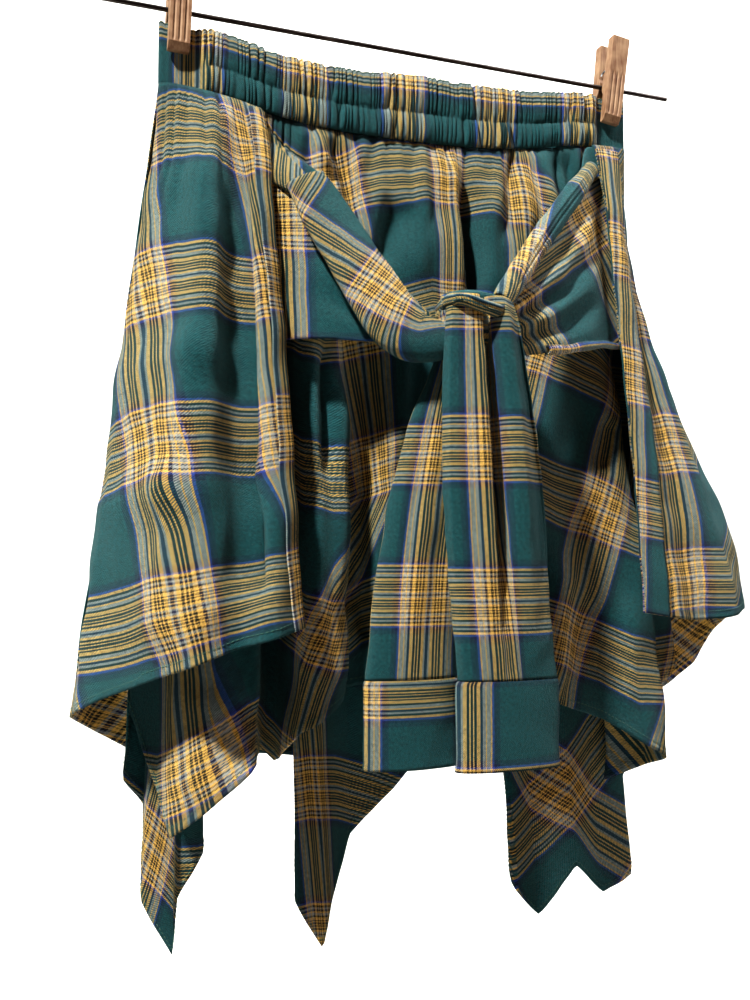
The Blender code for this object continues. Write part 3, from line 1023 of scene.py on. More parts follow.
BACK_FOLDS: Rows = (
    (-171, -188, 12, -452, 0, 1), (-168, -190, 20, -497, 0, 1), (-163, -176, 22, -515, 0, 1),
    (-160, -179, 8, -570, 0, 1), (-155, -160, 5, -605, 0, 1), (-149, -157, 8, -572, 0, 1),
    (-142, -139, 12, -544, 0, 1), (-134, -146, 26, -515, 0, 1), (-112, -118, 16, -484, 0, 1),
    (-92, -74, 22, -490, 0, 1), (-88, -81, 2, -580, 0, 1), (-78, -63, -2, -611, 0, 1),
    (-70, -56, 0, -580, 0, 1), (-56, -43, 3, -540, 0, 1), (-34, -8, 6, -510, 0, 1),
    (0, 30, 20, -478, 0, 1), (40, 84, 26, -480, 0, 1), (46, 77, 2, -586, 0, 1),
    (60, 95, -2, -607, 0, 1), (84, 131, 5, -579, 0, 1), (98, 154, 8, -601, 0.3, 1),
    (118, 181, 12, -592, 0.5, 1), (132, 180, 24, -530, 0.6, 1), (152, 206, 22, -470, 0.8, 1),
    (171, 222, 14, -440, 1, 1),
)
LEFT_FOLDS: Rows = (
    (-110, -96, -64, -398, 0, 0.62), (-122, -118, -78, -404, 0, 0.6), (-132, -136, -70, -409, 0, 0.64),
    (-142, -156, -72, -416, 0, 0.58), (-154, -180, -48, -427, 0, 0.6), (-164, -204, -24, -439, 0, 0.65),
    (-171, -222, 4, -451, 0, 0.8), (-175, -222, 30, -458, 0, 1),
)
RIGHT_FOLDS: Rows = (
    (142, 150, -56, -394, 0, 0.65), (149, 176, -54, -398, 0.4, 0.65), (156, 204, -40, -401, 0.7, 0.65),
    (163, 234, -38, -400, 0.9, 0.7), (169, 260, -20, -397, 1, 0.8), (173, 283, 4, -395, 1, 0.9),
    (175, 291, 30, -402, 1, 1),
)
BEHIND_FOLDS: Rows = (
    (-175, -222, 31, -458, 0, 1), (-162, -206, 48, -470, 0, 0.8), (-138, -170, 58, -491, 0, 0.7),
    (-112, -130, 46, -480, 0, 0.7), (-80, -90, 64, -488, 0, 0.7), (-44, -50, 48, -482, 0, 0.7),
    (-8, -10, 66, -490, 0, 0.7), (28, 38, 48, -480, 0, 0.7), (62, 88, 64, -484, 0, 0.7),
    (94, 140, 48, -478, 0.2, 0.7), (122, 196, 62, -472, 0.5, 0.7), (146, 244, 58, -463, 0.8, 0.8),
    (160, 278, 60, -442, 1, 0.9), (169, 288, 54, -422, 1, 0.9), (175, 291, 31, -402, 1, 1),
)


@dataclass
class Placket(Sewn):
    """A strip sewn along an outer panel's front edge, a cloth's thickness proud of it."""

    rests_on = ("waistband",)
    ease = None
    wall = 1.0
    width: float
    chart_start: Pair
    turn: float = 0.0
    lift: float = 1.8
    scale: float = 1.1
    top_row: int = 3
    columns: int = 9

    def strip(self, host: Cloth) -> Cloth:
        """Lays the strip on the panel's first columns.

        Args:
            host: The panel's cloth, whose first column is its front edge.

        Returns:
            The strip's cloth.
        """
        points, normals = host.points[self.top_row :], host.normals()[self.top_row :]
        normals = np.where(normals[..., 1:2] > 0, -normals, normals)
        raised = points + normals * self.lift
        run = np.concatenate([np.zeros((len(points), 1)), lengths(points, 1).cumsum(axis=1)], axis=1)
        shares = np.linspace(0, self.width, self.columns)
        places = np.empty((len(points), self.columns, 3))
        for axis in range(3):
            for row in range(len(points)):
                places[row, :, axis] = np.interp(shares, run[row], raised[row, :, axis])
        down = walked(lengths(places[:, self.columns // 2], 0))[:, None]
        across = self.chart_start[0] + shares * self.scale + down * math.sin(math.radians(self.turn))
        chart = np.stack([across, self.chart_start[1] + down * self.scale + 0 * shares], axis=-1)
        strip = Cloth(places, chart)
        return strip.flipped() if points[0, 0, 0] > points[0, -1, 0] else strip


@dataclass
class Fan(Sewn):
    """The flat part of a mock sleeve, spread from the side seam and drawn in at the knot.

    Attributes:
        sections: The upper end and the lower end of each section, and its pleats' depth.
    """

    held = Held.GATHERED
    ease = 1.02
    wall = 1.2
    hem = 3.0
    sections: Rows
    chart_start: Pair
    turn: float
    seed: int
    pleats: float = 3.5
    swell: float = 0.7
    dents: float = 0.7
    dent_size: float = 30.0
    rows: int = 70
    columns: int = 84

    def cloth(self) -> Cloth:
        """Shapes the fan with its pleats.

        Returns:
            The fan's cloth.
        """
        read = read_rows(self.sections, np.linspace(0, len(self.sections) - 1, self.columns))
        top, low, pleat = read[:, :3], read[:, 3:6], read[:, 6]
        share = np.linspace(0, 1, self.rows)[:, None]
        points = top + (low - top) * share[..., None]
        points[..., 1] = top[:, 1] + (low[:, 1] - top[:, 1]) * share**self.swell
        wave = np.sin(TAU * self.pleats * share + 0.5 * np.sin(read[:, 0] / 17))
        points[..., 1] -= pleat * (wave * np.sin(math.pi * share) ** 0.7)
        cos, sin = math.cos(math.radians(self.turn)), math.sin(math.radians(self.turn))
        across, down = points[..., 0], -points[..., 2]
        chart = np.stack([
            across * cos - down * sin + self.chart_start[0],
            across * sin + down * cos + self.chart_start[1],
        ], axis=-1)
        cloth = Cloth(points, chart)
        if points[0, 0, 0] > points[0, -1, 0]:
            cloth = cloth.flipped()
        dents = self.dents * rumple(cloth.points, self.seed, self.dent_size)
        cloth.push(dents * np.clip(share * 5, 0, 1))
        return cloth


class Ring(NamedTuple):
    """One ring of a flattened tube: its middle, half width, half depth and share of the profile."""

    x: float
    y: float
    z: float
    half_width: float
    half_depth: float
    groove: float = 0.0


@dataclass
class Tube(Sewn):
    """A flattened tube of cloth along a path, open at both ends, with folds along it.

    Attributes:
        rings: The sizes of each ring.
        profile: Places across the front face and how far it stands out there.
        folds: The place, height and width of each fold along the front face.
    """

    rings: Rows
    chart_start: Pair
    turn: float = 0.0
    wall: float = 1.3
    crisp: Pair = (0.5, 0.5)
    profile: Rows = ()
    folds: Rows = ()
    around: int = 96
    rows: int = 90
    dents: float = 0.5
    dent_size: float = 24.0
    seed: int = 51
    hem: float = 0.0
    upright: bool = False
    scale: float = 1.1
    spread: float = 1.0
    lean: float = 0.0

    def cloth(self) -> Cloth:
        """Shapes the tube.

        Returns:
            The tube's cloth, with its last column on its first.
        """
        rings = [Ring(*ring) for ring in self.rings]
        read = read_rows(rings, np.linspace(0, len(rings) - 1, self.rows))
        middle, half_width, half_depth, groove = read[:, :3], read[:, 3], read[:, 4], read[:, 5]
        way = np.gradient(middle, axis=0)
        if self.upright:
            way = np.tile((0.0, 0.0, -1.0), (self.rows, 1))
        way /= np.linalg.norm(way, axis=1, keepdims=True)
        ahead = np.array((0.0, -1.0, 0.0))
        front = ahead - way * (way @ ahead)[:, None]
        front /= np.linalg.norm(front, axis=1, keepdims=True)
        across = np.cross(front, way)
        turn = np.linspace(0, TAU, self.around + 1)
        s = -np.cos(turn)
        face = np.sign(np.sin(turn) + 1e-12)
        a, b = self.crisp
        peak = ((1 + (a - b) / (a + b)) ** a) * ((1 - (a - b) / (a + b)) ** b)
        lens = np.clip(1 + s, 0, 2) ** a * np.clip(1 - s, 0, 2) ** b / peak
        depth = lens[None, :] * half_depth[:, None]
        if self.profile:
            pressed = read_by(self.profile, s)[:, 0]
            share = groove[:, None] * (face > 0)
            depth = depth * (1 - share) + pressed[None, :] * half_depth[:, None] * share
        length = walked(lengths(middle, 0))
        fade = np.sin(math.pi * np.clip(length / length[-1], 0.03, 0.97))[:, None]
        for place, size, width in self.folds:
            drift = place + 0.10 * np.sin(length / 70 + 9 * place)
            ridge = np.exp(-(((s[None, :] - drift[:, None]) / width) ** 2))
            depth = depth + size * ridge * lens[None, :] ** 0.5 * (face > 0) * fade
        points = middle[:, None] + across[:, None] * (s * half_width[:, None])[..., None]
        points = points + front[:, None] * (face * depth)[..., None]
        points[:, -1] = points[:, 0]
        round_run = walked(lengths(points, 1)[self.rows // 2])
        down = length[:, None] + 0 * round_run
        start_across, start_down = self.chart_start
        slant = math.sin(math.radians(self.turn))
        chart = np.stack([
            start_across + round_run * self.scale * self.spread + down * slant,
            start_down + down * self.scale + round_run * self.lean,
        ], axis=-1)
        cloth = Cloth(points, chart, wraps=True)
        lift = self.dents * rumple(points, self.seed, self.dent_size)
        lift[:, -1] = lift[:, 0]
        cloth.push(lift)
        cloth.points[:, -1] = cloth.points[:, 0]
        return cloth


@dataclass
class KnotCore(Sewn):
    """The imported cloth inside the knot, seen only between the wraps: a gathered, closed tube."""

    rests_on = ("sleeve_left", "sleeve_right")
    centre: Point = (12.0, -75.0, -208.0)
    half: Point = (24.0, 13.0, 19.5)
    rings: int = 48
    columns: int = 97
    mouth: float = 0.06
    chart_start: Pair = (20.0, 30.0)
    chart_size: Pair = (17.0, 22.0)

    def cloth(self) -> Cloth:
        """Shapes the core.

        Returns:
            The core's cloth.
        """
        polar = np.linspace(self.mouth, math.pi - self.mouth, self.rings)[:, None]
        turn = np.linspace(0, TAU, self.columns)[None, :]
        flat = 0 * turn + 0 * polar
        x, y, z = np.cos(polar) + flat, -np.sin(polar) * np.cos(turn), np.sin(polar) * np.sin(turn)
        ball = np.stack([x, y, z], axis=-1)
        square = np.abs(ball).max(axis=-1, keepdims=True) ** 0.35
        pleat = 1 + 0.05 * np.sin(9 * turn + 1.5 * np.cos(polar)) * np.sin(polar)
        points = np.array(self.centre) + np.array(self.half) * ball / square * pleat[..., None]
        points[:, -1] = points[:, 0]
        across, down = turn * self.chart_size[0] + flat, polar * self.chart_size[1] + flat
        chart = np.stack([across, down], axis=-1) + np.array(self.chart_start)
        return Cloth(points, chart, wraps=True).flipped()


class Corner(NamedTuple):
    """A corner of the peg leg's side outline, and whether its face is the outer one."""

    y: float
    z: float
    outer: bool = False


@dataclass
class Peg:
    """A wooden clothes peg: two legs with a grooved outer face and a chamfered jaw."""

    side: str
    x: float
    lean: float
    width: float = 14.0
    grooves: tuple[float, ...] = (-3.7, 0.0, 3.7)
    groove_half: float = 0.95
    groove_depth: float = 0.85
    groove_low: float = -25.0
    groove_high: float = 9.0
    soften: float = 0.45
    outline: Rows = (
        (-4.1, -30.0), (-4.1, -8.0), (-2.0, -4.5), (-2.0, 4.5), (-4.2, 8.0), (-4.2, 12.5), (-5.0, 36.0),
        (-12.5, 36.0, True), (-11.5, 8.0, True), (-10.5, -25.0, True), (-8.0, -30.0),
    )

    def ring(self) -> list[Corner]:
        """Splits the outer face so that grooves can start and stop in it.

        Returns:
            The outline with close corners down its outer face.
        """
        corners: list[Corner] = []
        outline = [Corner(*corner) for corner in self.outline]
        for here, after in zip(outline, outline[1:] + outline[:1]):
            corners.append(here)
            if here.outer and after.outer:
                steps = max(2, int(abs(after.z - here.z) / 1.6))
                for t in (k / steps for k in range(1, steps)):
                    y, z = here.y + (after.y - here.y) * t, here.z + (after.z - here.z) * t
                    corners.append(Corner(y, z, True))
        return corners

    def leg(self, name: str, facing: int, finish: Material) -> None:
        """Builds one leg.

        Args:
            name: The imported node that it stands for.
            facing: 1 for the front leg and -1 for the back one.
            finish: The wood.
        """
        half = self.width / 2
        steps = [k * self.groove_half / 2 for k in (-2.6, -2, -1, 0, 1, 2, 2.6)]
        across = sorted({-half, half, *(groove + step for groove in self.grooves for step in steps)})
        corners = self.ring()
        shape = bmesh.new()
        rings = []
        for x in across:
            dip = max(0.0, *(1 - (abs(x - groove) / self.groove_half) ** 2 for groove in self.grooves))
            row = []
            for corner in corners:
                fade = min((corner.z - self.groove_low) / 2.5, (self.groove_high - corner.z) / 3.5, 1.0)
                inward = self.groove_depth * dip * max(fade, 0.0) if corner.outer else 0.0
                row.append(shape.verts.new((x * MM, (corner.y + inward) * facing * MM, corner.z * MM)))
            rings.append(row)
        count = len(corners)
        for one, two in zip(rings, rings[1:]):
            for i in range(count):
                shape.faces.new((one[i], one[(i + 1) % count], two[(i + 1) % count], two[i]))
        shape.faces.new(rings[0])
        shape.faces.new(rings[-1][::-1])
        bmesh.ops.recalc_face_normals(shape, faces=shape.faces)
        shape.transform(Matrix.Translation((self.x * MM, 0, 0)) @ Matrix.Rotation(self.lean, 4, "Y"))
        mesh = bpy.data.meshes.new(name + "_wood")
        shape.to_mesh(mesh)
        shape.free()
        mesh.materials.append(finish)
        made = link_object(name + "_wood", mesh)
        soften = made.modifiers.new("soften", "BEVEL")
        soften.width = self.soften * MM
        soften.segments = 2
        soften.limit_method = "ANGLE"
        soften.angle_limit = math.radians(32)
        register(made, "peg_wood", name)

    def make(self, wood: Material, steel: Material) -> None:
        """Builds both legs and dresses the spring.

        Args:
            wood: The legs' wood.
            steel: The spring's steel.
        """
        self.leg(f"peg_{self.side}_front", 1, wood)
        self.leg(f"peg_{self.side}_back", -1, wood)
        dress_node(f"peg_{self.side}_spring", steel)


@dataclass
class Studio:
    """The camera at the photograph's angle, plain soft light, and a pale floor and wall.

    The camera stands in millimetres and the lights in metres.
    """

    camera_at: Point = (-265.4, -656.8, -355.2)
    yaw: float = 20.0
    rise: float = math.degrees(math.atan(56 / 1026))
    lens: float = 36.936
    floor_z: float = -1150.0
    floor_y: float = -4200.0
    wall_y: float = 1700.0
    wall_z: float = 3400.0
    curve: float = 900.0
    half_width: float = 5200.0
    room: str = "#FFE2D6"
    room_strength: float = 0.025

    def camera(self) -> None:
        """Sets the camera, with the whole picture high as its sensor."""
        data = bpy.data.cameras.new("camera")
        data.sensor_fit = "VERTICAL"
        data.sensor_height = 36.0
        data.lens = self.lens
        data.clip_start = 0.02
        data.clip_end = 50.0
        yaw, rise = math.radians(self.yaw), math.radians(self.rise)
        ahead = Vector((math.sin(yaw) * math.cos(rise), math.cos(yaw) * math.cos(rise), math.sin(rise)))
        right = Vector((math.cos(yaw), -math.sin(yaw), 0.0))
        turned = Matrix((right, right.cross(ahead), -ahead)).transposed().to_4x4()
        made = link_object("camera", data)
        made.matrix_world = Matrix.Translation(Vector(self.camera_at) * MM) @ turned
        bpy.context.scene.camera = made

    def light(self, name: str, place: Point, aim: Point, size: float, power: float, colour: str) -> None:
        """Adds a round light.

        Args:
            name: The light's name.
            place: Where it stands.
            aim: What it looks at.
            size: Its width.
            power: Its power in watts.
            colour: Its colour.
        """
        data = bpy.data.lights.new(name, "AREA")
        data.shape = "DISK"
        data.size = size
        data.energy = power
        data.color = linear(colour)[:3]
        way = (Vector(aim) - Vector(place)).to_track_quat("-Z", "Y").to_matrix().to_4x4()
        link_object(name, data).matrix_world = Matrix.Translation(place) @ way

    def backdrop(self, finish: Material) -> None:
        """Builds the floor that curves up into the wall.

        Args:
            finish: The pale paint.
        """
        line = [(self.floor_y, self.floor_z)]
        for turn in (math.pi / 2 * step / 16 for step in range(17)):
            y = self.wall_y - self.curve + self.curve * math.sin(turn)
            line.append((y, self.floor_z + self.curve - self.curve * math.cos(turn)))
        line.append((self.wall_y, self.wall_z))
        mesh = bpy.data.meshes.new("studio_sweep")
        places = [(x * MM, y * MM, z * MM) for y, z in line for x in (-self.half_width, self.half_width)]
        mesh.from_pydata(places, [], [(i, i + 1, i + 3, i + 2) for i in range(0, 2 * len(line) - 2, 2)])
        smooth(mesh)
        mesh.materials.append(finish)
        link_object("studio_sweep", mesh)

    def make(self) -> None:
        """Sets camera, lights, surroundings and tone."""
        self.camera()
        middle = (0.0, 0.0, -0.3)
        self.light("key_light", (-1.70, -1.14, 2.14), middle, 0.26, 218.0, "#FFFDF8")
        self.light("fill_light", (0.5, -2.4, -0.3), middle, 2.6, 4.5, "#FF8A5C")
        self.light("wall_light", (0.95, 0.5, 0.9), (0.85, 1.7, -0.6), 2.2, 70.0, "#FFFFFF")
        self.backdrop(Paper().material())
        scene = bpy.context.scene
        scene.world = bpy.data.worlds.new("soft_room")
        scene.world.use_nodes = True
        sky = scene.world.node_tree.nodes["Background"]
        fill(sky, {"Color": linear(self.room), "Strength": self.room_strength})
        scene.view_settings.view_transform = "Standard"
        scene.view_settings.look = "High Contrast"
        scene.view_settings.exposure = 0.0


@dataclass
class Skirt:
    """The base skirt: the gathered band and the two panels under it."""

    flannel: Material
    band: Waistband = field(
        default_factory=lambda: Waistband("band_casing", "cloth_khaki", ("waistband",)))
    front: Panel = field(default_factory=lambda: Panel(
        "front_base_cloth", "cloth_green", ("skirt_front",), Side.FRONT, 171.0, 6.2, FRONT_FOLDS,
        weave=(
            (-160, -220, -212, -155, -175, -60, -62, -66, -63),
            (-130, -221, -216, -159, -184, -41, -41, -42, -36),
            (-105, -221, -220, -183, -201, -30, -27, -21, -10),
            (-85, -223, -240, -250, -184, -46, -47, -48, -49),
            (-70, -223, -242, -257, -181, -46, -49, -52, -54),
            (-55, -223, -246, -269, -177, -40, -44, -49, -52),
            (-40, -222, -247, -272, -174, -31, -39, -39, -33),
            (-20, -226, -249, -254, -162, -24, -36, -31, -26),
            (10, -233, -242, -203, -130, -23, -23, -27, -28),
            (35, -216, -209, -170, -107, -30, -29, -33, -35),
            (60, -201, -182, -144, -85, -27, -43, -48, -49),
            (85, -179, -186, -123, -64, -35, -53, -65, -65),
            (105, -172, -188, -123, -60, -54, -64, -75, -82),
            (125, -173, -192, -120, -62, -75, -77, -91, -106),
            (145, -174, -190, -121, -64, -90, -95, -105, -111),
        ),
        gathers=((9, 1.3, 7, 11), (19, 2.3, 20, 12), (37, 2.4, 42, 13)),
        creases=(
            (26, -77, 32, -178, 8.2, 9, 3.5), (35, -97, 40, -177, -10, 4.5, 8),
            (59, -87, 52, -177, 6, 7, 8), (79, -61, 66, -132, -4.8, 6, 7),
            (95, -59, 107, -116, 4.5, 8, 7), (13, -70, -1, -170, 3.9, 12, 10),
            (-9, -114, -27, -156, -5.4, 8, 9), (-26, -98, -37, -148, 3.9, 9, 7),
            (115, -61, 139, -104, -4.5, 8, 9), (-60, -74, -47, -117, -6, 5, 8),
            (-42, -71, -45, -117, 4.5, 6, 5), (-79, -68, -63, -98, 4.5, 5, 7),
            (-60, -240, -66, -383, 6.8, 6, 10), (-69, -218, -72, -300, -7.5, 4, 5),
            (-38, -217, -36, -364, -5.4, 10, 8), (-11, -213, -18, -298, 6.9, 13, 5),
            (-27, -298, -37, -397, 3.6, 9, 8), (-54, -377, -41, -410, -4.5, 7, 8),
            (-44, -358, -65, -439, 3.9, 9, 8), (-79, -223, -81, -437, 4.5, 7, 5),
            (178, -249, 159, -386, 4.8, 6, 5), (144, -258, 136, -294, -4.8, 9, 7),
            (94, -358, 86, -445, 6.3, 12, 11), (127, -244, 103, -295, -3.9, 14, 16),
            (124, -386, 98, -452, -4.5, 12, 12), (153, -386, 145, -462, 3.9, 12, 9),
            (-143, -436, -156, -501, 4.5, 12, 8), (-126, -441, -132, -485, -3.9, 8, 9),
        ),
        cell=2.7, seed=2, dents=1.2, scale=1.08,
    ))
    back: Panel = field(default_factory=lambda: Panel(
        "back_base_cloth", "cloth_blue", ("skirt_back",), Side.BACK, 171.0, 6.2, BACK_FOLDS,
        weave=(
            (-171, -57, -30, -6, 38, 54, 46, 38, 29), (-160, -38, -30, -35, 28, 22, 15, 13, 3),
            (-154, -32, -30, -17, 43, 7, 1, -7, -26), (-148, -27, -30, -21, 21, 3, -3, -12, -25),
            (-140, -19, -31, -28, -6, 5, -4, -13, -23), (-125, -15, -34, -41, -38, 16, 7, -1, -11),
            (-105, -15, -39, -56, -63, 26, 18, 10, 2), (-90, -26, -57, -111, -131, 42, 41, 42, 46),
            (-82, -28, -60, -114, -134, 45, 44, 45, 51), (-74, -29, -61, -112, -131, 44, 44, 45, 50),
            (-66, -27, -60, -105, -119, 44, 43, 45, 48), (-56, -24, -59, -104, -122, 43, 42, 43, 44),
            (-34, -8, -53, -102, -137, 43, 38, 32, 28), (0, 18, -43, -104, -162, 56, 39, 23, 7),
            (38, 44, -35, -111, -191, 87, 54, 23, -9), (48, 84, -28, -133, -261, 130, 76, 23, -15),
            (60, 81, -32, -137, -268, 142, 87, 32, -8), (72, 77, -36, -138, -271, 155, 99, 44, 0),
            (84, 73, -41, -139, -274, 167, 111, 55, 8), (98, 67, -47, -149, -293, 181, 124, 66, 12),
            (118, 59, -54, -158, -297, 196, 140, 82, 27), (135, 38, -70, -176, -298, 218, 170, 123, 76),
            (171, 1, -94, -196, -297, 233, 207, 180, 155),
        ),
        gathers=((12, 0.8, 9, 21), (25, 1.2, 26, 22)),
        cell=2.9, seed=3, scale=1.08,
    ))

    def make(self) -> list[Array]:
        """Builds the band and both panels.

        Returns:
            The lines along which the hems are sewn.
        """
        self.band.make(self.flannel)
        paths = []
        for panel in (self.front, self.back):
            cloth = panel.make(self.flannel)
            paths += [panel.hem_path(cloth, STITCH_LIFT), panel.hem_path(cloth, -STITCH_LIFT)]
        return paths


@dataclass
class Shirt:
    """The outer layer, cut like an open shirt: two fronts with their edges, and a back."""

    flannel: Material
    left: Panel = field(default_factory=lambda: Panel(
        "left_outer_cloth", "cloth_khaki", ("overlay_left",), Side.FRONT, 175.0, 10.2, LEFT_FOLDS[::-1],
        weave=(
            (-175, 28, -9, -55, -100, -32, -32, -41, -48),
            (-166, 10, -26, -63, -109, -27, -29, -31, -39),
            (-156, -6, -36, -64, -100, -28, -29, -26, -29),
            (-146, -17, -42, -67, -90, -33, -33, -29, -23),
            (-134, -24, -44, -59, -82, -34, -32, -25, -13),
            (-122, -26, -43, -52, -78, -38, -35, -24, -6), (-110, -27, -43, -50, -74, -30, -28, -15, 0),
        ),
        gathers=((10, 0.8, 7, 15), (21, 1.6, 22, 16)),
        creases=(
            (-149, -100, -154, -244, 8, 15, 9), (-154, -219, -169, -334, 11, 16, 10),
            (-166, -304, -177, -413, 10.5, 15, 11), (-128, -83, -124, -218, -8.5, 14, 6),
            (-123, -199, -118, -322, -13, 17, 6), (-118, -292, -123, -381, -12, 17, 7),
            (-175, -65, -182, -156, -3, 8, 10), (-160, -63, -166, -145, -2.5, 6, 8),
            (-181, -215, -199, -358, 3.4, 10, 14), (-137, -68, -133, -132, 3, 6, 5),
            (-138, -304, -155, -403, 3.4, 16, 9), (-187, -272, -202, -321, -2.7, 10, 8),
        ),
        cell=2.2, seed=4, dents=1.2, scale=1.0,
    ))
    right: Panel = field(default_factory=lambda: Panel(
        "right_outer_cloth", "cloth_khaki", ("overlay_right",), Side.FRONT, 175.0, 10.2, RIGHT_FOLDS,
        weave=(
            (142, -29, -29, -28, -23, -32, -35, -30, -26),
            (150, -29, -29, -28, -23, -28, -31, -28, -20),
            (158, -29, -29, -28, -22, -27, -26, -26, -22),
            (166, -29, -29, -29, -22, -27, -28, -30, -31),
            (175, -29, -29, -28, -23, -17, -16, -15, -14),
        ),
        gathers=((10, 0.5, 7, 17), (21, 1.0, 22, 18)),
        creases=(
            (183, -211, 203, -347, 3.1, 10, 9), (206, -300, 221, -387, 2.6, 9, 9),
        ),
        cell=2.2, seed=5, calm=21.0, dents=1.2, scale=1.03,
    ))
    behind: Panel = field(default_factory=lambda: Panel(
        "back_outer_cloth", "cloth_khaki", ("overlay_back",), Side.BACK, 175.0, 10.2, BEHIND_FOLDS,
        weave=(
            (-175, -405, -342, -287, -230, 72, 49, 27, 3),
            (-165, -408, -345, -290, -235, 60, 38, 16, -7),
            (-150, -408, -349, -295, -244, 41, 22, 4, -15),
            (-130, -405, -350, -297, -249, 18, 6, -8, -20), (90, -26, -63, -106, -142, 17, 13, 8, 5),
            (120, -2, -53, -104, -152, 29, 19, 7, -4), (135, 4, -51, -104, -156, 39, 24, 9, -6),
            (150, 9, -51, -105, -161, 58, 37, 18, -3), (160, 9, -53, -109, -167, 73, 50, 28, 5),
            (168, 7, -56, -112, -172, 82, 59, 36, 13), (175, 4, -59, -117, -178, 97, 74, 50, 27),
        ),
        gathers=((12, 1.0, 9, 25), (25, 2.0, 26, 26), (48, 2.2, 60, 27)),
        cell=2.9, seed=6, scale=1.05,
    ))
    edges: Sequence[Placket] = field(default_factory=lambda: (
        Placket("left_front_edge", "cloth_blue", ("placket_left",), 10.6, (-10.0, -30.0)),
        Placket("right_front_band", "cloth_blue", ("placket_right",), 21.0, (-12.0, 16.0), 5.7),
    ))

    def make(self) -> list[Array]:
        """Builds the three panels, each front one with its edge.

        Returns:
            The lines along which the hems are sewn.
        """
        paths = []
        for panel, edge in zip((self.left, self.right, self.behind), (*self.edges, None)):
            cloth = panel.make(self.flannel)
            if edge:
                edge.sew(edge.strip(cloth.flipped() if panel is self.left else cloth), self.flannel)
            paths.append(panel.hem_path(cloth, STITCH_LIFT))
        return paths


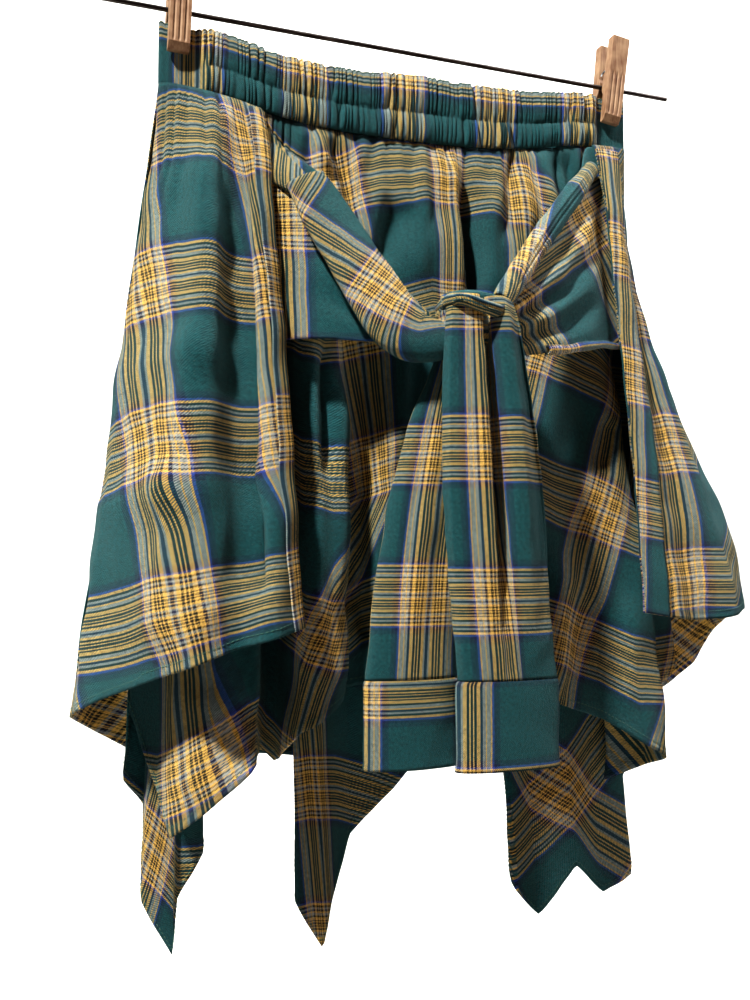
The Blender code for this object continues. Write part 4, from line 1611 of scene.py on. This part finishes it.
@dataclass
class Sleeves:
    """The mock sleeves: fans from the side seams, rolls along their tops, the knot and the ends."""

    flannel: Material
    fans: Sequence[Fan] = field(default_factory=lambda: (
        Fan("left_sleeve_fan", "cloth_green", ("sleeve_left",), (
            (-116, -8.5, -62.2, -112, -36, -222, 0), (-95, -17, -89, -98, -42, -220, 0.5),
            (-77, -31, -107, -78, -47, -219, 1.5), (-52, -45, -145, -56, -54, -220, 2.4),
            (-33, -57, -179, -34, -61, -226, 2), (-14, -68, -203, -14, -70, -228, 1),
        ), (4.6, -33.0), turn=0.0, seed=31),
        Fan("right_sleeve_fan", "cloth_green", ("sleeve_right",), (
            (150, -7.4, -49.6, 156, -27, -204, 0), (139, -7.8, -51.6, 143, -31, -205, 0.5),
            (120, -26, -84, 124, -46, -208, 1.5), (95, -42, -118, 104, -54, -212, 2.4),
            (68, -58, -150, 76, -64, -220, 3), (38, -70, -186, 38, -72, -228, 3),
        ), (67.6, 44.8), turn=34.0, seed=33),
    ))
    tubes: Sequence[Tube] = field(default_factory=lambda: (
        Tube("left_sleeve_strap", "cloth_green", (), (
            (-116, -14, -91, 13, 2.5), (-107, -19, -99, 12, 3), (-94, -28, -111.5, 9, 3),
            (-87, -34, -118.5, 7.5, 3), (-80, -38, -125, 8, 3),
        ), crisp=(0.5, 0.8), seed=50, rows=40, chart_start=(67.0, -20.4), scale=0.78, turn=-51.0,
        lean=0.78),
        Tube("left_sleeve_roll", "cloth_green", (), (
            (-88.5, -40, -115, 13, 3.5), (-76.5, -47, -139, 16, 5), (-65.7, -54, -160.5, 16.5, 6),
            (-52.9, -63, -185, 18, 7.5), (-41.3, -71, -207, 19, 8.5), (-25.5, -77, -221, 15.5, 7.5),
            (-8, -80, -222, 11, 6),
        ), crisp=(0.5, 0.8), seed=52, chart_start=(23.6, -5.6), turn=-33.6, scale=1.042, lean=0.554),
        Tube("right_sleeve_roll", "cloth_green", (), (
            (138, -15, -70, 4.5, 3), (126, -24, -83, 6, 3.5), (112, -33, -98, 7, 4.5),
            (84, -48, -129, 7.5, 5), (60, -61, -158, 7.5, 5.5), (42, -73, -179, 7, 5.5),
            (28, -83, -195, 6.5, 5.5),
        ), seed=53, folds=((-0.3, 1.2, 0.15), (0.35, -1, 0.12)), chart_start=(39.0, -14.8), turn=-14.0,
        scale=0.95),
        Tube("right_fan_hem", "cloth_khaki", (), (
            (70, -67, -220, 2.2, 2), (86, -62, -217.5, 2.4, 2), (104, -56, -213, 2.6, 2.2),
            (124, -47.5, -208.5, 2.4, 2), (143, -33.5, -205.5, 2.2, 2), (152, -29, -204.5, 2, 1.8),
        ), seed=59, rows=40, chart_start=(18.0, -10.0)),
        Tube("knot_wrap", "cloth_khaki", (), (
            (31, -77, -190, 4, 3.5), (26.5, -87, -200, 4.2, 3.6), (20, -93.5, -204, 4, 3.6),
            (11, -96.5, -203, 3.6, 3.4), (1, -96.5, -200.5, 3.4, 3.2), (-6, -92, -198.5, 3.4, 3.2),
            (-8.5, -83, -198.5, 3.4, 3), (-8.5, -72, -200, 3.4, 3),
        ), seed=54, rows=60, folds=((-0.45, 1, 0.12), (0.1, -0.9, 0.12), (0.5, 0.9, 0.12)),
        chart_start=(-20.0, 0.0)),
        Tube("front_sleeve_end", "cloth_khaki", ("tail_right",), (
            (13, -84, -194, 22, 7, 0.5), (14, -87, -212, 25, 8, 1), (17, -87, -262, 30, 10, 1),
            (21, -87, -325, 34, 11, 0.75), (23, -87, -362, 33.5, 11, 0.4),
            (25.5, -87, -395, 33, 10.5, 0.12), (29, -87, -430.7, 33, 9, 0),
        ), profile=(
            (-1, 0), (-0.94, 0.55), (-0.6, 0.85), (-0.3, 1.15), (-0.19, 1.05), (-0.13, -0.3),
            (0, -0.75), (0.1, -0.35), (0.17, 0.7), (0.31, 1.15), (0.48, 1.3), (0.57, 1.1), (0.8, 0.35),
            (0.94, -0.05), (1, 0),
        ), upright=True, seed=55, rows=110, chart_start=(-39.6, -3.2), scale=1.126, spread=0.92,
        folds=((-0.65, -1.2, 0.14), (0.72, -1.5, 0.1)), around=160),
        Tube("back_sleeve_end", "cloth_khaki", ("tail_left",), (
            (5, -66, -229.8, 14, 5), (-3, -63, -280, 25, 8), (-13, -64, -330, 29, 9),
            (-21, -64, -380, 29, 9), (-26, -64, -430.7, 29, 8),
        ), upright=True, seed=56, rows=90,
        folds=((-0.2, 1.6, 0.2), (0.35, -1.6, 0.16), (-0.62, -1.2, 0.12)), chart_start=(-33.2, 29.5),
        turn=-3.6, scale=1.19),
        Tube("front_cuff", "cloth_green", ("cuff_right",), (
            (29, -87, -431, 33, 9.4), (29, -87, -434, 34.5, 9.6), (29, -87, -460, 34.5, 9.6),
            (29, -87, -485, 34.5, 9.4),
        ), upright=True, wall=2.0, seed=57, rows=34, dents=0.35, hem=4.0, chart_start=(-2.4, 24.6),
        scale=1.126),
        Tube("back_cuff", "cloth_green", ("cuff_left",), (
            (-26, -64, -431, 29, 8.4), (-26, -64, -434, 30.5, 8.6), (-26, -64, -460, 30.5, 8.6),
            (-26, -64, -485, 30.5, 8.4),
        ), upright=True, wall=2.0, seed=58, rows=34, dents=0.35, hem=4.0, chart_start=(10.6, -2.9),
        scale=1.126),
    ))
    knot: KnotCore = field(
        default_factory=lambda: KnotCore("knot_core", "cloth_green", ("knot",)))

    def make(self) -> None:
        """Builds both sleeves, their ends and the knot."""
        for piece in (*self.fans, *self.tubes, self.knot):
            piece.make(self.flannel)


def main() -> None:
    """Builds the garment, what holds it and the studio, in that order."""
    logging.basicConfig(level=logging.INFO, format="%(name)s %(message)s")
    flannel = Flannel().material()
    wood = Wood().material()
    dark = Steel("dark_drawn_steel", "#2E2A29", "#5B5552").material()
    bright = Steel("bright_spring_steel", "#8E9398", "#C9CDD2").material()
    thread = Thread("green_sewing_thread", "#3E6A5C").material()
    paths = Skirt(flannel).make()
    paths += Shirt(flannel).make()
    Sleeves(flannel).make()
    Seam().sew("hem_stitches", paths, thread, "cloth_green")
    Peg("left", -163.0, math.radians(2.0)).make(wood, bright)
    Peg("right", 163.0, math.radians(7.0)).make(wood, bright)
    dress_node("rod", dark)
    Studio().make()


if __name__ == "__main__":
    main()
